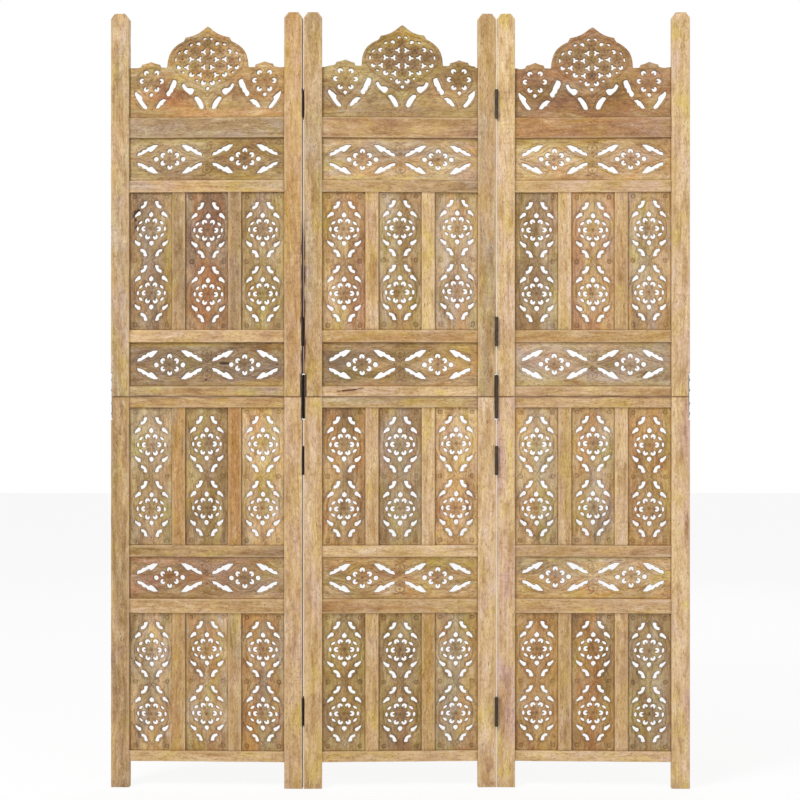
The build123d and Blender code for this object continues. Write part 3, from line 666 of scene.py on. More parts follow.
# Places round a rounded rectangle: for each the corner that it belongs to, its direction from the corner's
# centre, and how far it lies towards the next corner. Flat sides are divided as given.
def sectionRing(across, through):
    ring = []
    turns = [(1, 1, 0), (-1, 1, 90), (-1, -1, 180), (1, -1, 270)]
    for k, (cx, cy, start) in enumerate(turns):
        ring += [(cx, cy, *polar(1, a + start), 0.0, cx, cy) for a in (0, 30, 60, 90)]
        nextX, nextY = turns[(k + 1) % 4][:2]
        count = across if cy == nextY else through
        ring += [(cx, cy, *polar(1, start + 90), m / count, nextX, nextY) for m in range(1, count)]
    return np.array(ring).T


# A sawn bar: a rounded rectangular section carried along stations.
# The section's half widths to the low and high side are given for every station, so that the bar
# can be notched or tapered. Faces wander by a few tenths and the corners are worn unevenly.
# dirt gives the grime of each station; the low and high side edges get painted shade by the given amounts, standing
# in for the shadow in a narrow gap or seam groove; gouges are lines cut into the front face.
def barMember(halfWidths, halfDepth, stations, centre, alongZ, seed, tones, radius=1.6, dirt=0.0, stains=(),
              gouges=(), edges=(0.0, 0.0)):
    t = np.asarray(stations, float)
    low, high = halfWidths
    across = max(4, int(round(2 * max(low.max(), high.max()) / (1.6 if gouges else 4.5))))
    cx, cy, ux, uy, share, endX, endY = sectionRing(across, 4)
    count = len(cx)
    gs, gt = np.meshgrid(np.arange(count) / count, t)
    worn = radius * (1 + 0.45 * ripple(gt, gs * 60, seed + 7, 60))
    worn[[0, -1]] *= 0.8
    reachX = np.where(cx > 0, high[:, None], low[:, None])
    reachEnd = np.where(endX > 0, high[:, None], low[:, None])
    fromX, toX = cx * (reachX - worn), endX * (reachEnd - worn)
    fromY, toY = cy * (halfDepth - worn), endY * (halfDepth - worn)
    px = fromX + share * (toX - fromX) + ux * worn
    py = fromY + share * (toY - fromY) + uy * worn
    wander = 0.28 * ripple(t, t * 0, seed + 8, 260)[:, None]
    px = px - np.sign(px) * 0.1 * np.abs(wander)
    dents = 0.25 + 0.16 * ripple(gt, px, seed + 9, 60) + 0.1 * ripple(gt, px, seed + 10, 14)
    carve = np.broadcast_to(np.reshape(dirt, (-1, 1)), px.shape)
    fromEdge = np.where(px < 0, low[:, None] + px, high[:, None] - px)
    # Painted shade along each side edge, darkest at the edge: it stands in for the shadow in a narrow gap or seam
    # groove.
    lowShade, highShade = (np.reshape(grime, (-1, 1)) for grime in edges)
    carve = np.maximum(carve, np.where(px < 0, lowShade, highShade) * softStep(-fromEdge, -2.6, -0.5))
    onFront = py < -halfDepth + 2
    for line, width, deep in gouges:
        cut = vCut(lineDistance(gt, px, line), width, 1.0) * onFront
        dents = dents + deep * cut
        carve = np.maximum(carve, 2.2 * softStep(cut, 0.1, 0.7))
    py = py - np.sign(py) * np.clip(dents, 0, None) * (np.abs(py) > halfDepth - 2)
    n = len(t)
    along = np.broadcast_to(t[:, None], px.shape)
    order = [0, 1, 2] if alongZ else [2, 1, 0]
    flat = np.stack([px, py, along], 2).reshape(-1, 3)[:, order]
    i, j = np.meshgrid(np.arange(n - 1), np.arange(count), indexing="ij")
    a = (i * count + j).ravel()
    b = (i * count + (j + 1) % count).ravel()
    quads = np.stack([a, b, b + count, a + count], 1)
    ends = np.array([[px[k].mean(), 0, t[k]] for k in (0, -1)])[:, order]
    points = np.concatenate([flat, ends])
    ringLow = np.arange(count)
    ringHigh = ringLow + (n - 1) * count
    caps = np.concatenate([np.stack([np.full(count, len(flat)), np.roll(ringLow, -1), ringLow], 1),
                           np.stack([np.full(count, len(flat) + 1), ringHigh, np.roll(ringHigh, -1)], 1)])
    if not alongZ:
        quads, caps = quads[:, ::-1], caps[:, ::-1]
    isCorner = ((ux * uy) != 0) & (share == 0)
    wear = np.concatenate([(isCorner * np.clip(2 - carve, 0, 1)).ravel(), [0, 0]])
    carve = np.concatenate([carve.ravel(), carve[[0, -1], 0]])
    facts = woodFacts(points, alongZ, seed, tones, carve, wear, 0.0, stains)
    points = points + np.array([centre[0], 0.0, centre[1]])
    return {"points": points, "triangles": caps, "quads": quads, "quadsSmooth": True, **facts}


# Where two uprights almost touch: how far each stands out below full, fading to nothing at top, and the painted
# shadow on their facing edges, standing in for the dark gap between them.
leftJoint = {"swell": 0.36, "full": 1130, "top": 1240, "grime": 3.2}


# An upright. side is -1 on the left. The outer face is notched at the seam and, where hinges sit,
# let in by the depth of their leaves. The post top is chamfered. A swell brings the hinged edge out a
# little over the lower part of the upper section, where the two uprights of a joint almost touch.
def stile(side, upper, hinged, seed, tones, swell=0.0):
    half = screen["stileWidth"] / 2
    notch = screen["notchHalf"]
    seam = screen["seam"]
    step = 7.0
    if upper:
        top, slope = screen["height"], screen["postChamferHeight"]
        stations = [seam + 0.05, seam + 1.2, seam + 2.5] + list(np.arange(seam + 8, seam + notch - 2, step)) + \
            [seam + notch - 0.2, seam + notch] + list(np.arange(seam + notch + 6, top - slope - 3, step)) + \
            [top - slope, top - slope / 2, top - 0.6, top]
    else:
        stations = [0.0, 1.0] + list(np.arange(8, seam - notch - 4, step)) + [seam - notch, seam - notch + 0.2] + \
            list(np.arange(seam - notch + 6, seam - 4, step)) + [seam - 2.5, seam - 0.9, seam]
    recess = screen["recessHalf"]
    hinges = [height for height in screen["hingeHeights"] if hinged and (height > seam) == upper]
    for height in hinges:
        stations += [height - recess - 0.2, height - recess, height + recess, height + recess + 0.2]
    t = np.unique(stations)
    cut = np.where(np.abs(t - seam) < notch - 0.1, screen["notchDepth"], 0.0)
    for height in hinges:
        cut[np.abs(t - height) < recess + 0.1] = screen["leafRecess"]
    taper = np.zeros(len(t))
    if upper:
        taper = screen["postChamferWidth"] * np.clip((t - screen["height"] + slope) / slope, 0, 1)
    swollen = softStep(-t, -leftJoint["top"], -leftJoint["full"]) * (swell > 0)
    outer = half - cut - taper + swell * swollen * (cut == 0)
    inner = np.full(len(t), half) - taper
    low, high = (outer, inner) if side < 0 else (inner, outer)
    x = side * (screen["width"] - screen["stileWidth"]) / 2
    dirt = np.maximum(1.3 * softStep(-np.abs(t - seam), -2.4, -0.4), 0.35 * softStep(-t, -30, 0))
    # Painted shadow on the edge that faces the other upright, where the two almost touch: it stands in for the dark
    # gap.
    grime = leftJoint["grime"] * swollen
    edges = (grime, 0.0) if side < 0 else (0.0, grime)
    return barMember((low, high), screen["stileDepth"] / 2, t, (x, 0.0), True, seed, tones, 1.6, dirt, edges=edges)


# A plain rail or muntin between two shoulders.
def straightBar(length, width, depth, centre, alongZ, seed, tones, gouges=(), stains=(), edges=(0.0, 0.0)):
    half = length / 2 - 0.1
    marks = [np.arange(line[0][0] - 8, line[-1][0] + 8, 1.5) for line, _, _ in gouges]
    inner = np.linspace(-half + 6, half - 6, max(8, int(length / 7)))
    stations = np.unique(np.concatenate([[-half, -half + 0.8], inner, [half - 0.8, half]] + marks))
    widths = np.full(len(stations), width / 2)
    dirt = 0.9 * softStep(np.abs(stations), half - 1.8, half)
    return barMember((widths, widths), depth / 2, stations, centre, alongZ, seed, tones, 1.2, dirt, stains, gouges,
                     edges)


# Materials.

# Short calls for the nodes of a material or of the world.
class Graph:

    def __init__(self, owner, shader="Principled BSDF"):
        owner.use_nodes = True
        self.owner, self.tree = owner, owner.node_tree
        self.shader = self.tree.nodes[shader]

    # A socket is linked; anything else is a constant.
    def put(self, node, links):
        for key, value in links.items():
            if isinstance(value, bpy.types.NodeSocket):
                self.tree.links.new(value, node.inputs[key])
            else:
                node.inputs[key].default_value = value

    def node(self, kind, links=None, **settings):
        made = self.tree.nodes.new("ShaderNode" + kind)
        for key, value in settings.items():
            setattr(made, key, value)
        self.put(made, links or {})
        return made

    def noise(self, vector, scale, detail=2.0, rough=0.5, distort=0.0):
        return self.node("TexNoise", {"Vector": vector, "Scale": scale, "Detail": detail, "Roughness": rough,
                                      "Distortion": distort}).outputs["Fac"]

    def stretched(self, vector, scale, shift=0.0):
        return self.node("Mapping", {"Vector": vector, "Scale": scale, "Location": (shift,) * 3}).outputs[0]

    def ramp(self, value, low, high, fromValue=0.0, toValue=1.0):
        return self.node("MapRange", {"Value": value, "From Min": low, "From Max": high, "To Min": fromValue,
                                      "To Max": toValue}, interpolation_type="SMOOTHSTEP").outputs[0]

    def math(self, operation, a, b):
        return self.node("Math", {0: a, 1: b}, operation=operation).outputs[0]

    def times(self, a, b):
        return self.math("MULTIPLY", a, b)

    def blend(self, kind, factor, a, b):
        return self.node("Mix", {0: factor, 6: a, 7: b}, data_type="RGBA", blend_type=kind).outputs[2]

    def attribute(self, name, output="Fac"):
        return self.node("Attribute", attribute_name=name).outputs[output]

    def mixShaders(self, factor, first, second, output):
        mix = self.node("MixShader", {0: factor, 1: first.outputs[0], 2: second.outputs[0]})
        self.put(self.tree.nodes[output], {"Surface": mix.outputs[0]})

    def finish(self, links):
        self.put(self.shader, links)
        return self.owner


woodLook = {"roughness": 0.60, "bumpStrength": 0.4, "bumpDepth": 0.0006}

# Layers of noise in the wood: how fine each is along and across the grain, its detail, roughness and
# distortion, and how far it's shifted.
woodLayers = {
    "bands": (4.0, 26.0, 3.0, 0.55, 0.6, 0.0), "clouds": (11.0, 34.0, 4.0, 0.62, 0.3, 9.0),
    "rings": (3.0, 75.0, 2.0, 0.5, 1.4, 3.0), "streaks": (14.0, 230.0, 3.0, 0.6, 0.4, 0.0),
    "flecks": (110.0, 420.0, 2.0, 0.55, 0.0, 5.0), "fibres": (50.0, 1500.0, 2.0, 0.6, 0.0, 0.0),
    "pores": (130.0, 1300.0, 1.0, 0.5, 0.0, 0.0), "saw": (420.0, 6.0, 1.0, 0.5, 0.3, 0.0),
    "patches": (11.0, 34.0, 2.0, 0.5, 0.8, 31.0), "mottle": (32.0, 80.0, 3.0, 0.6, 0.5, 13.0),
    "speckle": (130.0, 300.0, 3.0, 0.65, 0.4, 17.0), "broad": (6.0, 11.0, 3.0, 0.55, 0.8, 41.0),
    "tint": (9.0, 18.0, 2.0, 0.5, 0.8, 53.0), "hue": (9.0, 21.0, 5.0, 0.7, 0.6, 61.0),
}

# Coats of colour over the two tones, in order: how each is laid, by which layer, between which values of
# the layer and how strongly at each, in what colour, and the facts that hold it back.
woodCoats = [
    ("MULTIPLY", "broad", (0.50, 0.68, 0.0, 0.95), (0.76, 0.67, 0.56), ("weather",)),
    ("SCREEN", "broad", (0.47, 0.32, 0.0, 0.22), (0.86, 0.70, 0.46), ("weather", "clean")),
    ("MULTIPLY", "tint", (0.52, 0.66, 0.0, 0.8), (1.06, 0.93, 0.80), ("weather",)),
    ("MULTIPLY", "tint", (0.47, 0.34, 0.0, 0.8), (0.94, 0.99, 0.97), ("weather",)),
    ("MULTIPLY", "hue", (0.50, 0.66, 0.0, 1.0), (0.98, 1.02, 0.60), ()),
    ("MULTIPLY", "hue", (0.50, 0.34, 0.0, 1.0), (0.99, 1.01, 1.36), ()),
    ("MULTIPLY", "patches", (0.40, 0.60, 0.1, 0.85), (1.03, 0.98, 0.68), ("margin",)),
    ("MULTIPLY", "clouds", (0.47, 0.70, 0.0, 1.0), (0.74, 0.65, 0.52), ()),
    ("SCREEN", "patches", (0.52, 0.75, 0.0, 0.26), (0.80, 0.64, 0.44), ("clean",)),
    ("MULTIPLY", "mottle", (0.50, 0.72, 0.0, 0.85), (0.76, 0.68, 0.56), ()),
    ("SCREEN", "mottle", (0.46, 0.28, 0.0, 0.16), (0.90, 0.74, 0.50), ("clean",)),
    ("MULTIPLY", "rings", (0.50, 0.60, 0.0, 0.5), (0.82, 0.73, 0.60), ()),
    ("MULTIPLY", "streaks", (0.42, 0.74, 0.0, 0.6), (0.70, 0.62, 0.50), ()),
    ("MULTIPLY", "speckle", (0.50, 0.74, 0.0, 0.95), (0.70, 0.61, 0.49), ()),
    ("SCREEN", "speckle", (0.46, 0.28, 0.0, 0.18), (0.92, 0.78, 0.56), ()),
]


# Waxed mango wood: two tones in soft bands along the grain, fine streaks, dark flecks and short pores,
# faint saw marks across, yellow margins, named stains, and darkening that is partly dirt in joints, cuts and
# gouges and partly painted shade in cuts, at hole rims, along recessed edges and in narrow gaps and seams.
def makeMangoWood():
    g = Graph(bpy.data.materials.new("mangoWood"))
    grain, stain = g.attribute("grain", "Vector"), g.attribute("stain", "Color")
    stainShare = g.attribute("stain", "Alpha")
    facts = {name: g.attribute(name) for name in ("carve", "wear", "margin", "weather")}
    facts["clean"] = g.math("SUBTRACT", 1.0, g.times(stainShare, 0.9))
    layers = {name: g.noise(g.stretched(grain, (along, across, across), shift), 1.0, *look)
              for name, (along, across, *look, shift) in woodLayers.items()}

    def amount(layer, *span):
        return g.ramp(layers[layer], *span)

    def coat(kind, factor, tint):
        return g.blend(kind, factor, colour, (*tint, 1))

    colour = g.blend("MIX", amount("bands", 0.42, 0.60, 0.0, 0.95), g.attribute("tone", "Color"),
                     g.attribute("patch", "Color"))
    colour = g.blend("MIX", g.times(stainShare, amount("clouds", 0.25, 0.55, 0.55, 1.15)), colour, stain)
    for kind, layer, span, tint, holds in woodCoats:
        share = amount(layer, *span)
        for fact in holds:
            share = g.times(facts[fact], share)
        colour = coat(kind, share, tint)

    fleckMask = g.times(amount("flecks", 0.59, 0.68), amount("patches", 0.36, 0.62, 0.3, 1.0))
    colour = coat("MULTIPLY", g.times(fleckMask, 0.85), (0.55, 0.44, 0.31))
    colour = coat("MULTIPLY", amount("fibres", 0.45, 0.75, 0.0, 0.5), (0.70, 0.62, 0.52))
    poreMask = amount("pores", 0.62, 0.70)
    colour = coat("MULTIPLY", g.times(poreMask, 0.8), (0.48, 0.39, 0.29))
    sawMask = g.times(amount("saw", 0.58, 0.66), amount("bands", 0.50, 0.58, 0.0, 0.35))
    colour = coat("MULTIPLY", sawMask, (0.66, 0.56, 0.44))
    # Darkening: partly dirt and stain in joints and cuts, partly painted shade in cuts, at hole rims, along
    # recessed edges and in narrow gaps.
    colour = coat("MULTIPLY", facts["carve"], (0.46, 0.35, 0.25))
    colour = coat("MULTIPLY", g.ramp(facts["carve"], 1.0, 1.6), (0.40, 0.30, 0.24))
    worn = g.times(facts["wear"], amount("clouds", 0.35, 0.6, 0.0, 0.45))
    colour = coat("MIX", worn, (0.62, 0.45, 0.26))

    height = g.math("SUBTRACT", g.times(layers["fibres"], 0.5), g.times(poreMask, 0.9))
    height = g.math("SUBTRACT", height, g.times(fleckMask, 0.7))
    bump = g.node("Bump", {"Height": height, "Strength": woodLook["bumpStrength"],
                           "Distance": woodLook["bumpDepth"]}).outputs[0]
    rough = amount("streaks", 0.3, 0.7, woodLook["roughness"] - 0.06, woodLook["roughness"] + 0.1)
    return g.finish({"Base Color": colour, "Roughness": rough, "Normal": bump})


# Lacquered or bare steel with rubbed patches and fine scratches.
def makeMetal(name, colour, worn, metallic, roughness):
    g = Graph(bpy.data.materials.new(name))
    here = g.node("TexCoord").outputs["Object"]
    patches = g.noise(here, 160.0, 4.0, 0.6)
    scratches = g.noise(g.stretched(here, (900.0, 900.0, 60.0)), 1.0, 2.0, 0.6)
    base = g.blend("MIX", g.ramp(patches, 0.50, 0.66), colour, worn)
    rough = g.ramp(patches, 0.35, 0.65, roughness - 0.1, roughness + 0.12)
    bump = g.node("Bump", {"Height": scratches, "Strength": 0.2, "Distance": 0.0003}).outputs[0]
    return g.finish({"Base Color": base, "Roughness": rough, "Normal": bump, "Metallic": metallic})


mangoWood = makeMangoWood()
hingeBronze = makeMetal("hingeBronze", (0.030, 0.019, 0.013, 1), (0.085, 0.050, 0.030, 1), 0.25, 0.5)
plateSteel = makeMetal("plateSteel", (0.23, 0.21, 0.19, 1), (0.42, 0.39, 0.35, 1), 0.9, 0.42)
screwSteel = makeMetal("screwSteel", (0.16, 0.145, 0.13, 1), (0.35, 0.32, 0.28, 1), 0.9, 0.38)

metals = {"hinge_leaves": hingeBronze, "joint_pins": hingeBronze, "edge_plate": plateSteel,
          "screws": screwSteel}
for nodeName, node in frame["nodes"].items():
    metal = next((metals[word] for word in metals if word in nodeName), None)
    if metal:
        node.data.materials.clear()
        node.data.materials.append(metal)
print("metal finishes on the hinges, plates and screws")


# The wood of each panel.

# The tones of each panel's pieces, from the left and from below, but the muntins from above: a main tone
# and a patch tone for each piece.
panelTones = {
    "left": {
        "stiles": "wheat umber, tan pale, wheat ash, tan honey",
        "lowerRails": "tan pale, tan wheat, wheat umber, wheat honey",
        "upperRails": "wheat ash, pale tan, tan ash, umber grey",
        "muntins": "wheat umber, honey umber, honey umber, amber honey, wheat honey, wheat ash",
        "lowerJali": "pale grey, wheat ash, honey grey", "middleJali": "ash grey, olive umber, pale ash",
        "upperJali": "umber smoke, russet smoke, ash olive", "friezes": "umber rose, umber smoke, olive umber",
        "crest": "honey olive",
    },
    "middle": {
        "stiles": "pale tan, cream pale, wheat ash, wheat ash",
        "lowerRails": "tan pale, wheat honey, cream pale, ash wheat",
        "upperRails": "cream pale, honey tan, wheat umber, wheat russet",
        "muntins": "tan pale, cream pale, tan pale, pale cream, tan pale, honey wheat",
        "lowerJali": "olive umber, umber olive, grey wheat",
        "middleJali": "umber honey, grey umber, cream pale", "upperJali": "wheat russet, ash olive, ash tan",
        "friezes": "tan olive, umber tan, ash pale", "crest": "olive umber",
    },
    "right": {
        "stiles": "cream blush, cream blush, pale cream, pale cream",
        "lowerRails": "pale cream, tan pale, wheat tan, pale tan",
        "upperRails": "tan wheat, wheat honey, pale tan, russet amber",
        "muntins": "pale cream, wheat tan, wheat tan, cream pale, tan wheat, tan pale",
        "lowerJali": "honey wheat, honey umber, umber grey", "middleJali": "ash tan, wheat grey, wheat honey",
        "upperJali": "umber grey, tan rose, ash tan", "friezes": "tan ash, ash grey, pale wheat",
        "crest": "russet umber",
    },
}


def tonePairs(words):
    return [pair.split() for pair in words.split(", ")]


# Insect holes, knots and stains, from the middle of the board that bears them. Pits are a place, a reach
# across and up and a depth; stains are a place, a reach across and up, a tone and a strength. A shift is
# how far the figures stand off their usual place, across and up.
boardMarks = {
    ("leftUpperJali", 0): {"pits": [(-33, 104, 5.0, 6.5, 2.6), (-27, 108, 3.6, 5.0, 2.2), (-36, 97, 3.6, 5.0, 2.2),
                                    (-24, 82, 3.8, 4.6, 2.2), (-33, 88, 3.0, 4.0, 2.0), (-32, 72, 3.0, 6.0, 2.4)],
                           "stains": [(-26, 92, 22, 50, "smoke", 0.75), (40, 0, 9, 150, "moss", 0.8)]},
    ("leftUpperJali", 1): {"shift": (3.0, -3.0),
                           "stains": [(0, -60, 34, 60, "rust", 0.8), (0, 70, 34, 80, "walnut", 0.4)]},
    ("leftUpperJali", 2): {"stains": [(30, 100, 22, 60, "ash", 0.6)]},
    ("leftWaistFrieze", 0): {"pits": [(38, 2, 15, 3.4, 2.2), (-2, -33, 2.6, 2.6, 1.2)],
                             "stains": [(0, 0, 120, 30, "smoke", 0.8), (-60, 44, 120, 7, "moss", 0.8),
                                        (120, -42, 60, 9, "moss", 0.6), (160, 38, 50, 9, "moss", 0.8)]},
    ("leftCrest", 0): {"shift": (2.5, 2.0),
                       "stains": [(-93, -32, 22, 26, "walnut", 1.0), (-56, -46, 34, 17, "walnut", 0.9),
                                  (-82, -56, 60, 26, "rust", 0.8), (4, 26, 50, 34, "umber", 0.45),
                                  (58, -44, 40, 26, "russet", 0.8)]},
    ("leftUpperFrieze", 0): {"stains": [(-110, 0, 50, 40, "umber", 0.5), (60, -30, 90, 16, "moss", 0.5)]},
    ("leftLowerFrieze", 0): {"stains": [(10, 0, 70, 40, "rose", 0.55), (140, 20, 40, 30, "moss", 0.5)]},
    ("middleUpperFrieze", 0): {"stains": [(148, 0, 19, 60, "blush", 0.95), (-10, 0, 120, 30, "smoke", 0.25)]},
    ("middleWaistFrieze", 0): {"stains": [(-118, 0, 62, 60, "smoke", 0.85), (4, 0, 34, 60, "umber", 0.8),
                                          (120, 0, 70, 60, "tan", 0.6)]},
    ("middleLowerFrieze", 0): {"stains": [(60, 30, 90, 14, "moss", 0.6)]},
    ("middleCrest", 0): {"shift": (4.5, 4.5),
                         "stains": [(0, 70, 80, 24, "moss", 0.7), (0, 24, 56, 36, "umber", 0.7),
                                    (90, -50, 50, 40, "tan", 0.6), (-110, -10, 40, 40, "moss", 0.5)]},
    ("middleUpperJali", 0): {"stains": [(10, -40, 30, 60, "russet", 0.6), (-36, 60, 9, 110, "moss", 0.5)]},
    ("middleUpperJali", 1): {"shift": (0.0, 2.5), "stains": [(0, -110, 34, 40, "honey", 0.5)]},
    ("middleUpperJali", 2): {"shift": (2.5, 4.0),
                             "stains": [(8, -10, 30, 90, "lavender", 0.75), (10, 140, 40, 22, "moss", 0.6)]},
    ("middleLowerJali", 0): {"stains": [(14, -60, 26, 60, "russet", 0.5), (-30, 60, 16, 70, "moss", 0.6)]},
    ("rightWaistFrieze", 0): {"stains": [(0, 0, 120, 40, "lavender", 0.6), (-40, -40, 120, 9, "moss", 0.5)]},
    ("rightUpperFrieze", 0): {"stains": [(-60, 34, 120, 12, "moss", 0.7), (110, -20, 60, 30, "amber", 0.2)]},
    ("rightCrest", 0): {"shift": (-1.5, -2.0),
                        "stains": [(0, 30, 60, 44, "umber", 0.75), (120, -30, 44, 50, "tan", 0.6),
                                   (-120, 10, 30, 40, "honey", 0.5), (20, -70, 120, 16, "russet", 0.6)]},
    ("rightLowerJali", 1): {"stains": [(-6, 40, 26, 70, "rust", 0.2), (34, -60, 12, 70, "moss", 0.6)]},
    ("rightMiddleJali", 2): {"stains": [(38, 0, 9, 150, "moss", 0.6), (0, 0, 26, 100, "umber", 0.25)]},
    ("rightUpperJali", 1): {"stains": [(6, 60, 26, 60, "rose", 0.5)]},
}
# Gouges run along a line of (along, across) places, with a width and a depth.
railMarks = {
    ("middleUpperRails", 0): {"gouges": [(smoothLine([(-134, 0.6), (-122, 1.4)]), 2.6, 1.0),
                                        (smoothLine([(-122, 1.4), (-108, 2.8), (-95, 4.2)]), 4.8, 1.9),
                                        (smoothLine([(-95, 4.2), (-78, 7.2)]), 2.4, 0.9)]},
    ("rightUpperRails", 3): {"stains": [(140, 0, 40, 60, "lavender", 0.35)]},
    ("leftLowerRails", 3): {"stains": [(-60, 0, 60, 30, "pale", 0.5)]},
}

jaliHeight = lowerLevels["jali"][0][1]
jaliSheet = sheetOf(jaliWidth, jaliHeight, jaliField,
                    lambda x, z: rectangleField(x, z, jaliWidth + 2 * tuck, jaliHeight + 2 * tuck))
jaliCuts = jaliDepth(*jaliSheet[:2]), jaliField(*jaliSheet[:2])
print("lattice sheet", len(jaliSheet[2]), "triangles a side")

friezeSheets = {}
for _, friezeHeight in lowerLevels["frieze"] + upperLevels["frieze"]:
    if friezeHeight not in friezeSheets:
        sheet = sheetOf(openingWidth, friezeHeight, friezeField,
                        lambda x, z: rectangleField(x, z, openingWidth + 2 * tuck, friezeHeight + 2 * tuck))
        friezeSheets[friezeHeight] = sheet, (friezeDepth(*sheet[:2]), friezeField(*sheet[:2]))
print("frieze sheets", sorted(friezeSheets))

crestSheet = sheetOf(openingWidth, screen["crestApex"], crestHoles,
                     lambda x, z: np.minimum(crestEdge(x, z), openingWidth / 2 + tuck - np.abs(x)))
crestCuts = crestDepth(*crestSheet[:2]), crestHoles(*crestSheet[:2])
print("crest sheet", len(crestSheet[2]), "triangles a side")


# The three lattice boards of one row.
def jaliRow(panel, row, level, tones, seed):
    name = panel + row.title() + "Jali"
    base, height = level
    parts = [carvedBoard(jaliSheet, jaliCuts, (jaliWidth, height),
                         ((column - 1) * (jaliWidth + screen["muntinWidth"]), base + height / 2), True,
                         seed + 10 * column, tones[column], **boardMarks.get((name, column), {}))
             for column in range(3)]
    meshPiece(name, parts, panel, panel + "_" + row + "_jali")


def friezePiece(panel, place, level, tones, seed):
    name = panel + place.title() + "Frieze"
    base, height = level
    sheet, cuts = friezeSheets[height]
    part = carvedBoard(sheet, cuts, (openingWidth, height), (0.0, base + height / 2), False, seed, tones,
                       **boardMarks.get((name, 0), {}))
    meshPiece(name, [part], panel, panel + "_" + place + "_frieze")


def crestPiece(panel, tones, seed):
    base, apex = upperLevels["crest"][0][0], screen["crestApex"]
    part = carvedBoard(crestSheet, crestCuts, (openingWidth, apex), (0.0, base + apex / 2), False, seed, tones,
                       freeTop=True, **boardMarks.get((panel + "Crest", 0), {}))
    meshPiece(panel + "Crest", [part], panel, panel + "_crest_board")


def railPieces(panel, section, levels, tones, seed):
    name = panel + section.title() + "Rails"
    parts = []
    for k, (base, height) in enumerate(levels):
        # Painted shade along a rail edge that lies on the seam, darkening the seam's groove.
        edges = [seamShade * (abs(edge - screen["seam"]) < 1) for edge in (base, base + height)]
        parts.append(straightBar(openingWidth, height + 0.3, screen["railDepth"], (0.0, base + height / 2), False,
                                 seed + 10 * k, tones[k], edges=edges, **railMarks.get((name, k), {})))
    meshPiece(name, parts, panel, panel + "_" + section + "_rails")


def muntinPieces(panel, section, levels, tones, seed):
    parts = []
    for row, (base, height) in enumerate(levels):
        for gap in range(2):
            x = (gap - 0.5) * (jaliWidth + screen["muntinWidth"])
            parts.append(straightBar(height, screen["muntinWidth"], screen["muntinDepth"],
                                     (x, base + height / 2), True, seed + 10 * len(parts), tones[2 * row + gap]))
    meshPiece(panel + section.title() + "Muntins", parts, panel, panel + "_" + section + "_muntins")


def stilePiece(panel, section, side, seed, tones):
    hand = "left" if side < 0 else "right"
    atLeftJoint = section == "upper" and (panel, side) in (("left", 1), ("middle", -1))
    upright = stile(side, section == "upper", panel != hand, seed, tones,
                    leftJoint["swell"] if atLeftJoint else 0.0)
    meshPiece(panel + section.title() + "Stile" + hand.title(), [upright], panel,
              panel + "_" + section + "_stile_" + hand)


# Painted shade that darkens the seam's groove between the rails.
seamShade = 1.5    # on the edges of the rails that meet at the seam
sections = (("lower", lowerLevels), ("upper", upperLevels))
jaliLevels = lowerLevels["jali"] + upperLevels["jali"]
friezeLevels = lowerLevels["frieze"] + upperLevels["frieze"]
for number, (panel, tonesOf) in enumerate(panelTones.items()):
    wood = {kind: tonePairs(words) for kind, words in tonesOf.items()}
    seed = 1000 * (number + 1)
    for k in range(4):
        stilePiece(panel, sections[k // 2][0], 2 * (k % 2) - 1, seed + 1 + k, wood["stiles"][k])
    for k, (section, levels) in enumerate(sections):
        railPieces(panel, section, levels["rail"], wood[section + "Rails"], seed + 100 + 50 * k)
    for k, tones in enumerate((wood["muntins"][2:], wood["muntins"][:2])):
        section, levels = sections[k]
        muntinPieces(panel, section, levels["jali"][::-1], tones, seed + 200 + 50 * k)
    for k, row in enumerate(("lower", "middle", "upper")):
        jaliRow(panel, row, jaliLevels[k], wood[row + "Jali"], seed + 300 + 50 * k)
    for k, place in enumerate(("lower", "waist", "upper")):
        friezePiece(panel, place, friezeLevels[k], wood["friezes"][k], seed + 450 + 10 * k)
    crestPiece(panel, wood["crest"][0], seed + 500)
    print(panel, "panel made")


# Floor, light and camera.

white = (1, 1, 1, 1)
studio = {"whiteStrength": 1.0, "floorColour": (0.94, 0.94, 0.94, 1), "floorRoughness": 0.9,
          "shadowShare": 0.14, "floorReach": 12.0, "worldStrength": 0.56}
# Place, power and size of each lamp.
lamps = {"key": ((-2.0, -2.6, 3.5), 100.0, 1.1), "fill": ((2.2, -3.4, 1.5), 28.0, 2.6),
         "back": ((1.2, 3.2, 2.8), 30.0, 2.4)}
camera = {"distance": 3.8, "height": 0.826, "frameTall": 1.708, "sensor": 36.0}


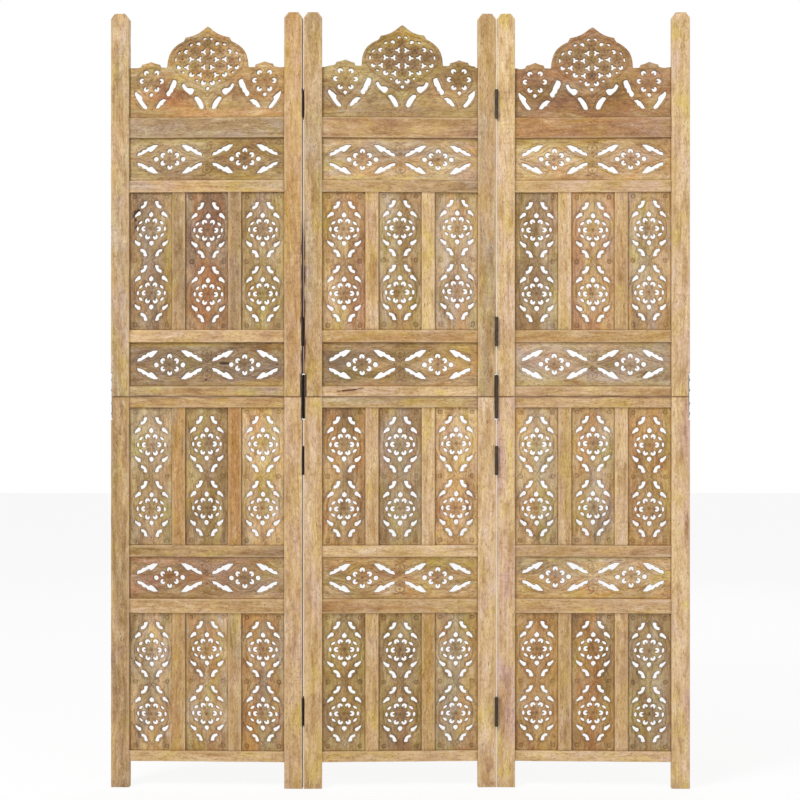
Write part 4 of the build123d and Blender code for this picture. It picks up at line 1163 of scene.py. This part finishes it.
# 1 for rays from the camera, mirrors and glass.
def seenWhite(g):
    path = g.node("LightPath").outputs
    seen = g.math("MAXIMUM", path["Is Camera Ray"], path["Is Glossy Ray"])
    return g.math("MAXIMUM", seen, path["Is Transmission Ray"])


def makeFloor():
    reach = studio["floorReach"]
    mesh = bpy.data.meshes.new("floor")
    mesh.from_pydata([(-reach, -reach, 0), (reach, -reach, 0), (reach, reach, 0), (-reach, reach, 0)], [],
                     [(0, 1, 2, 3)])
    g = Graph(bpy.data.materials.new("paleFloor"))
    g.put(g.shader, {"Base Color": studio["floorColour"], "Roughness": studio["floorRoughness"]})
    glow = g.node("Emission", {"Color": white, "Strength": studio["whiteStrength"]})
    share = g.times(seenWhite(g), 1 - studio["shadowShare"])
    g.mixShaders(share, g.shader, glow, "Material Output")
    mesh.materials.append(g.owner)
    floor = linkedObject("floor", mesh)


def makeWorld():
    world = bpy.data.worlds.new("studio")
    bpy.context.scene.world = world
    g = Graph(world, "Background")
    g.put(g.shader, {"Color": white, "Strength": studio["worldStrength"]})
    bright = g.node("Background", {"Color": white, "Strength": studio["whiteStrength"]})
    g.mixShaders(seenWhite(g), g.shader, bright, "World Output")


# A square soft lamp that faces the middle of the screen.
def makeLamp(name, place, power, size):
    data = bpy.data.lights.new(name, "AREA")
    data.energy = power
    data.size = size
    lamp = linkedObject(name, data)
    lamp.location = place
    aim = Vector((0, 0, screen["height"] * mm / 2)) - Vector(place)
    lamp.rotation_euler = aim.to_track_quat("-Z", "Y").to_euler()


def makeCamera():
    data = bpy.data.cameras.new("camera")
    data.sensor_fit = "VERTICAL"
    data.sensor_width = data.sensor_height = camera["sensor"]
    data.lens = camera["sensor"] * camera["distance"] / camera["frameTall"]
    viewer = linkedObject("camera", data)
    viewer.location = (0, -camera["distance"], camera["height"])
    viewer.rotation_euler = (math.radians(90), 0, 0)
    bpy.context.scene.camera = viewer


makeFloor()
makeWorld()
for name, lamp in lamps.items():
    makeLamp(name, *lamp)
makeCamera()
bpy.context.scene.view_settings.view_transform = "Standard"
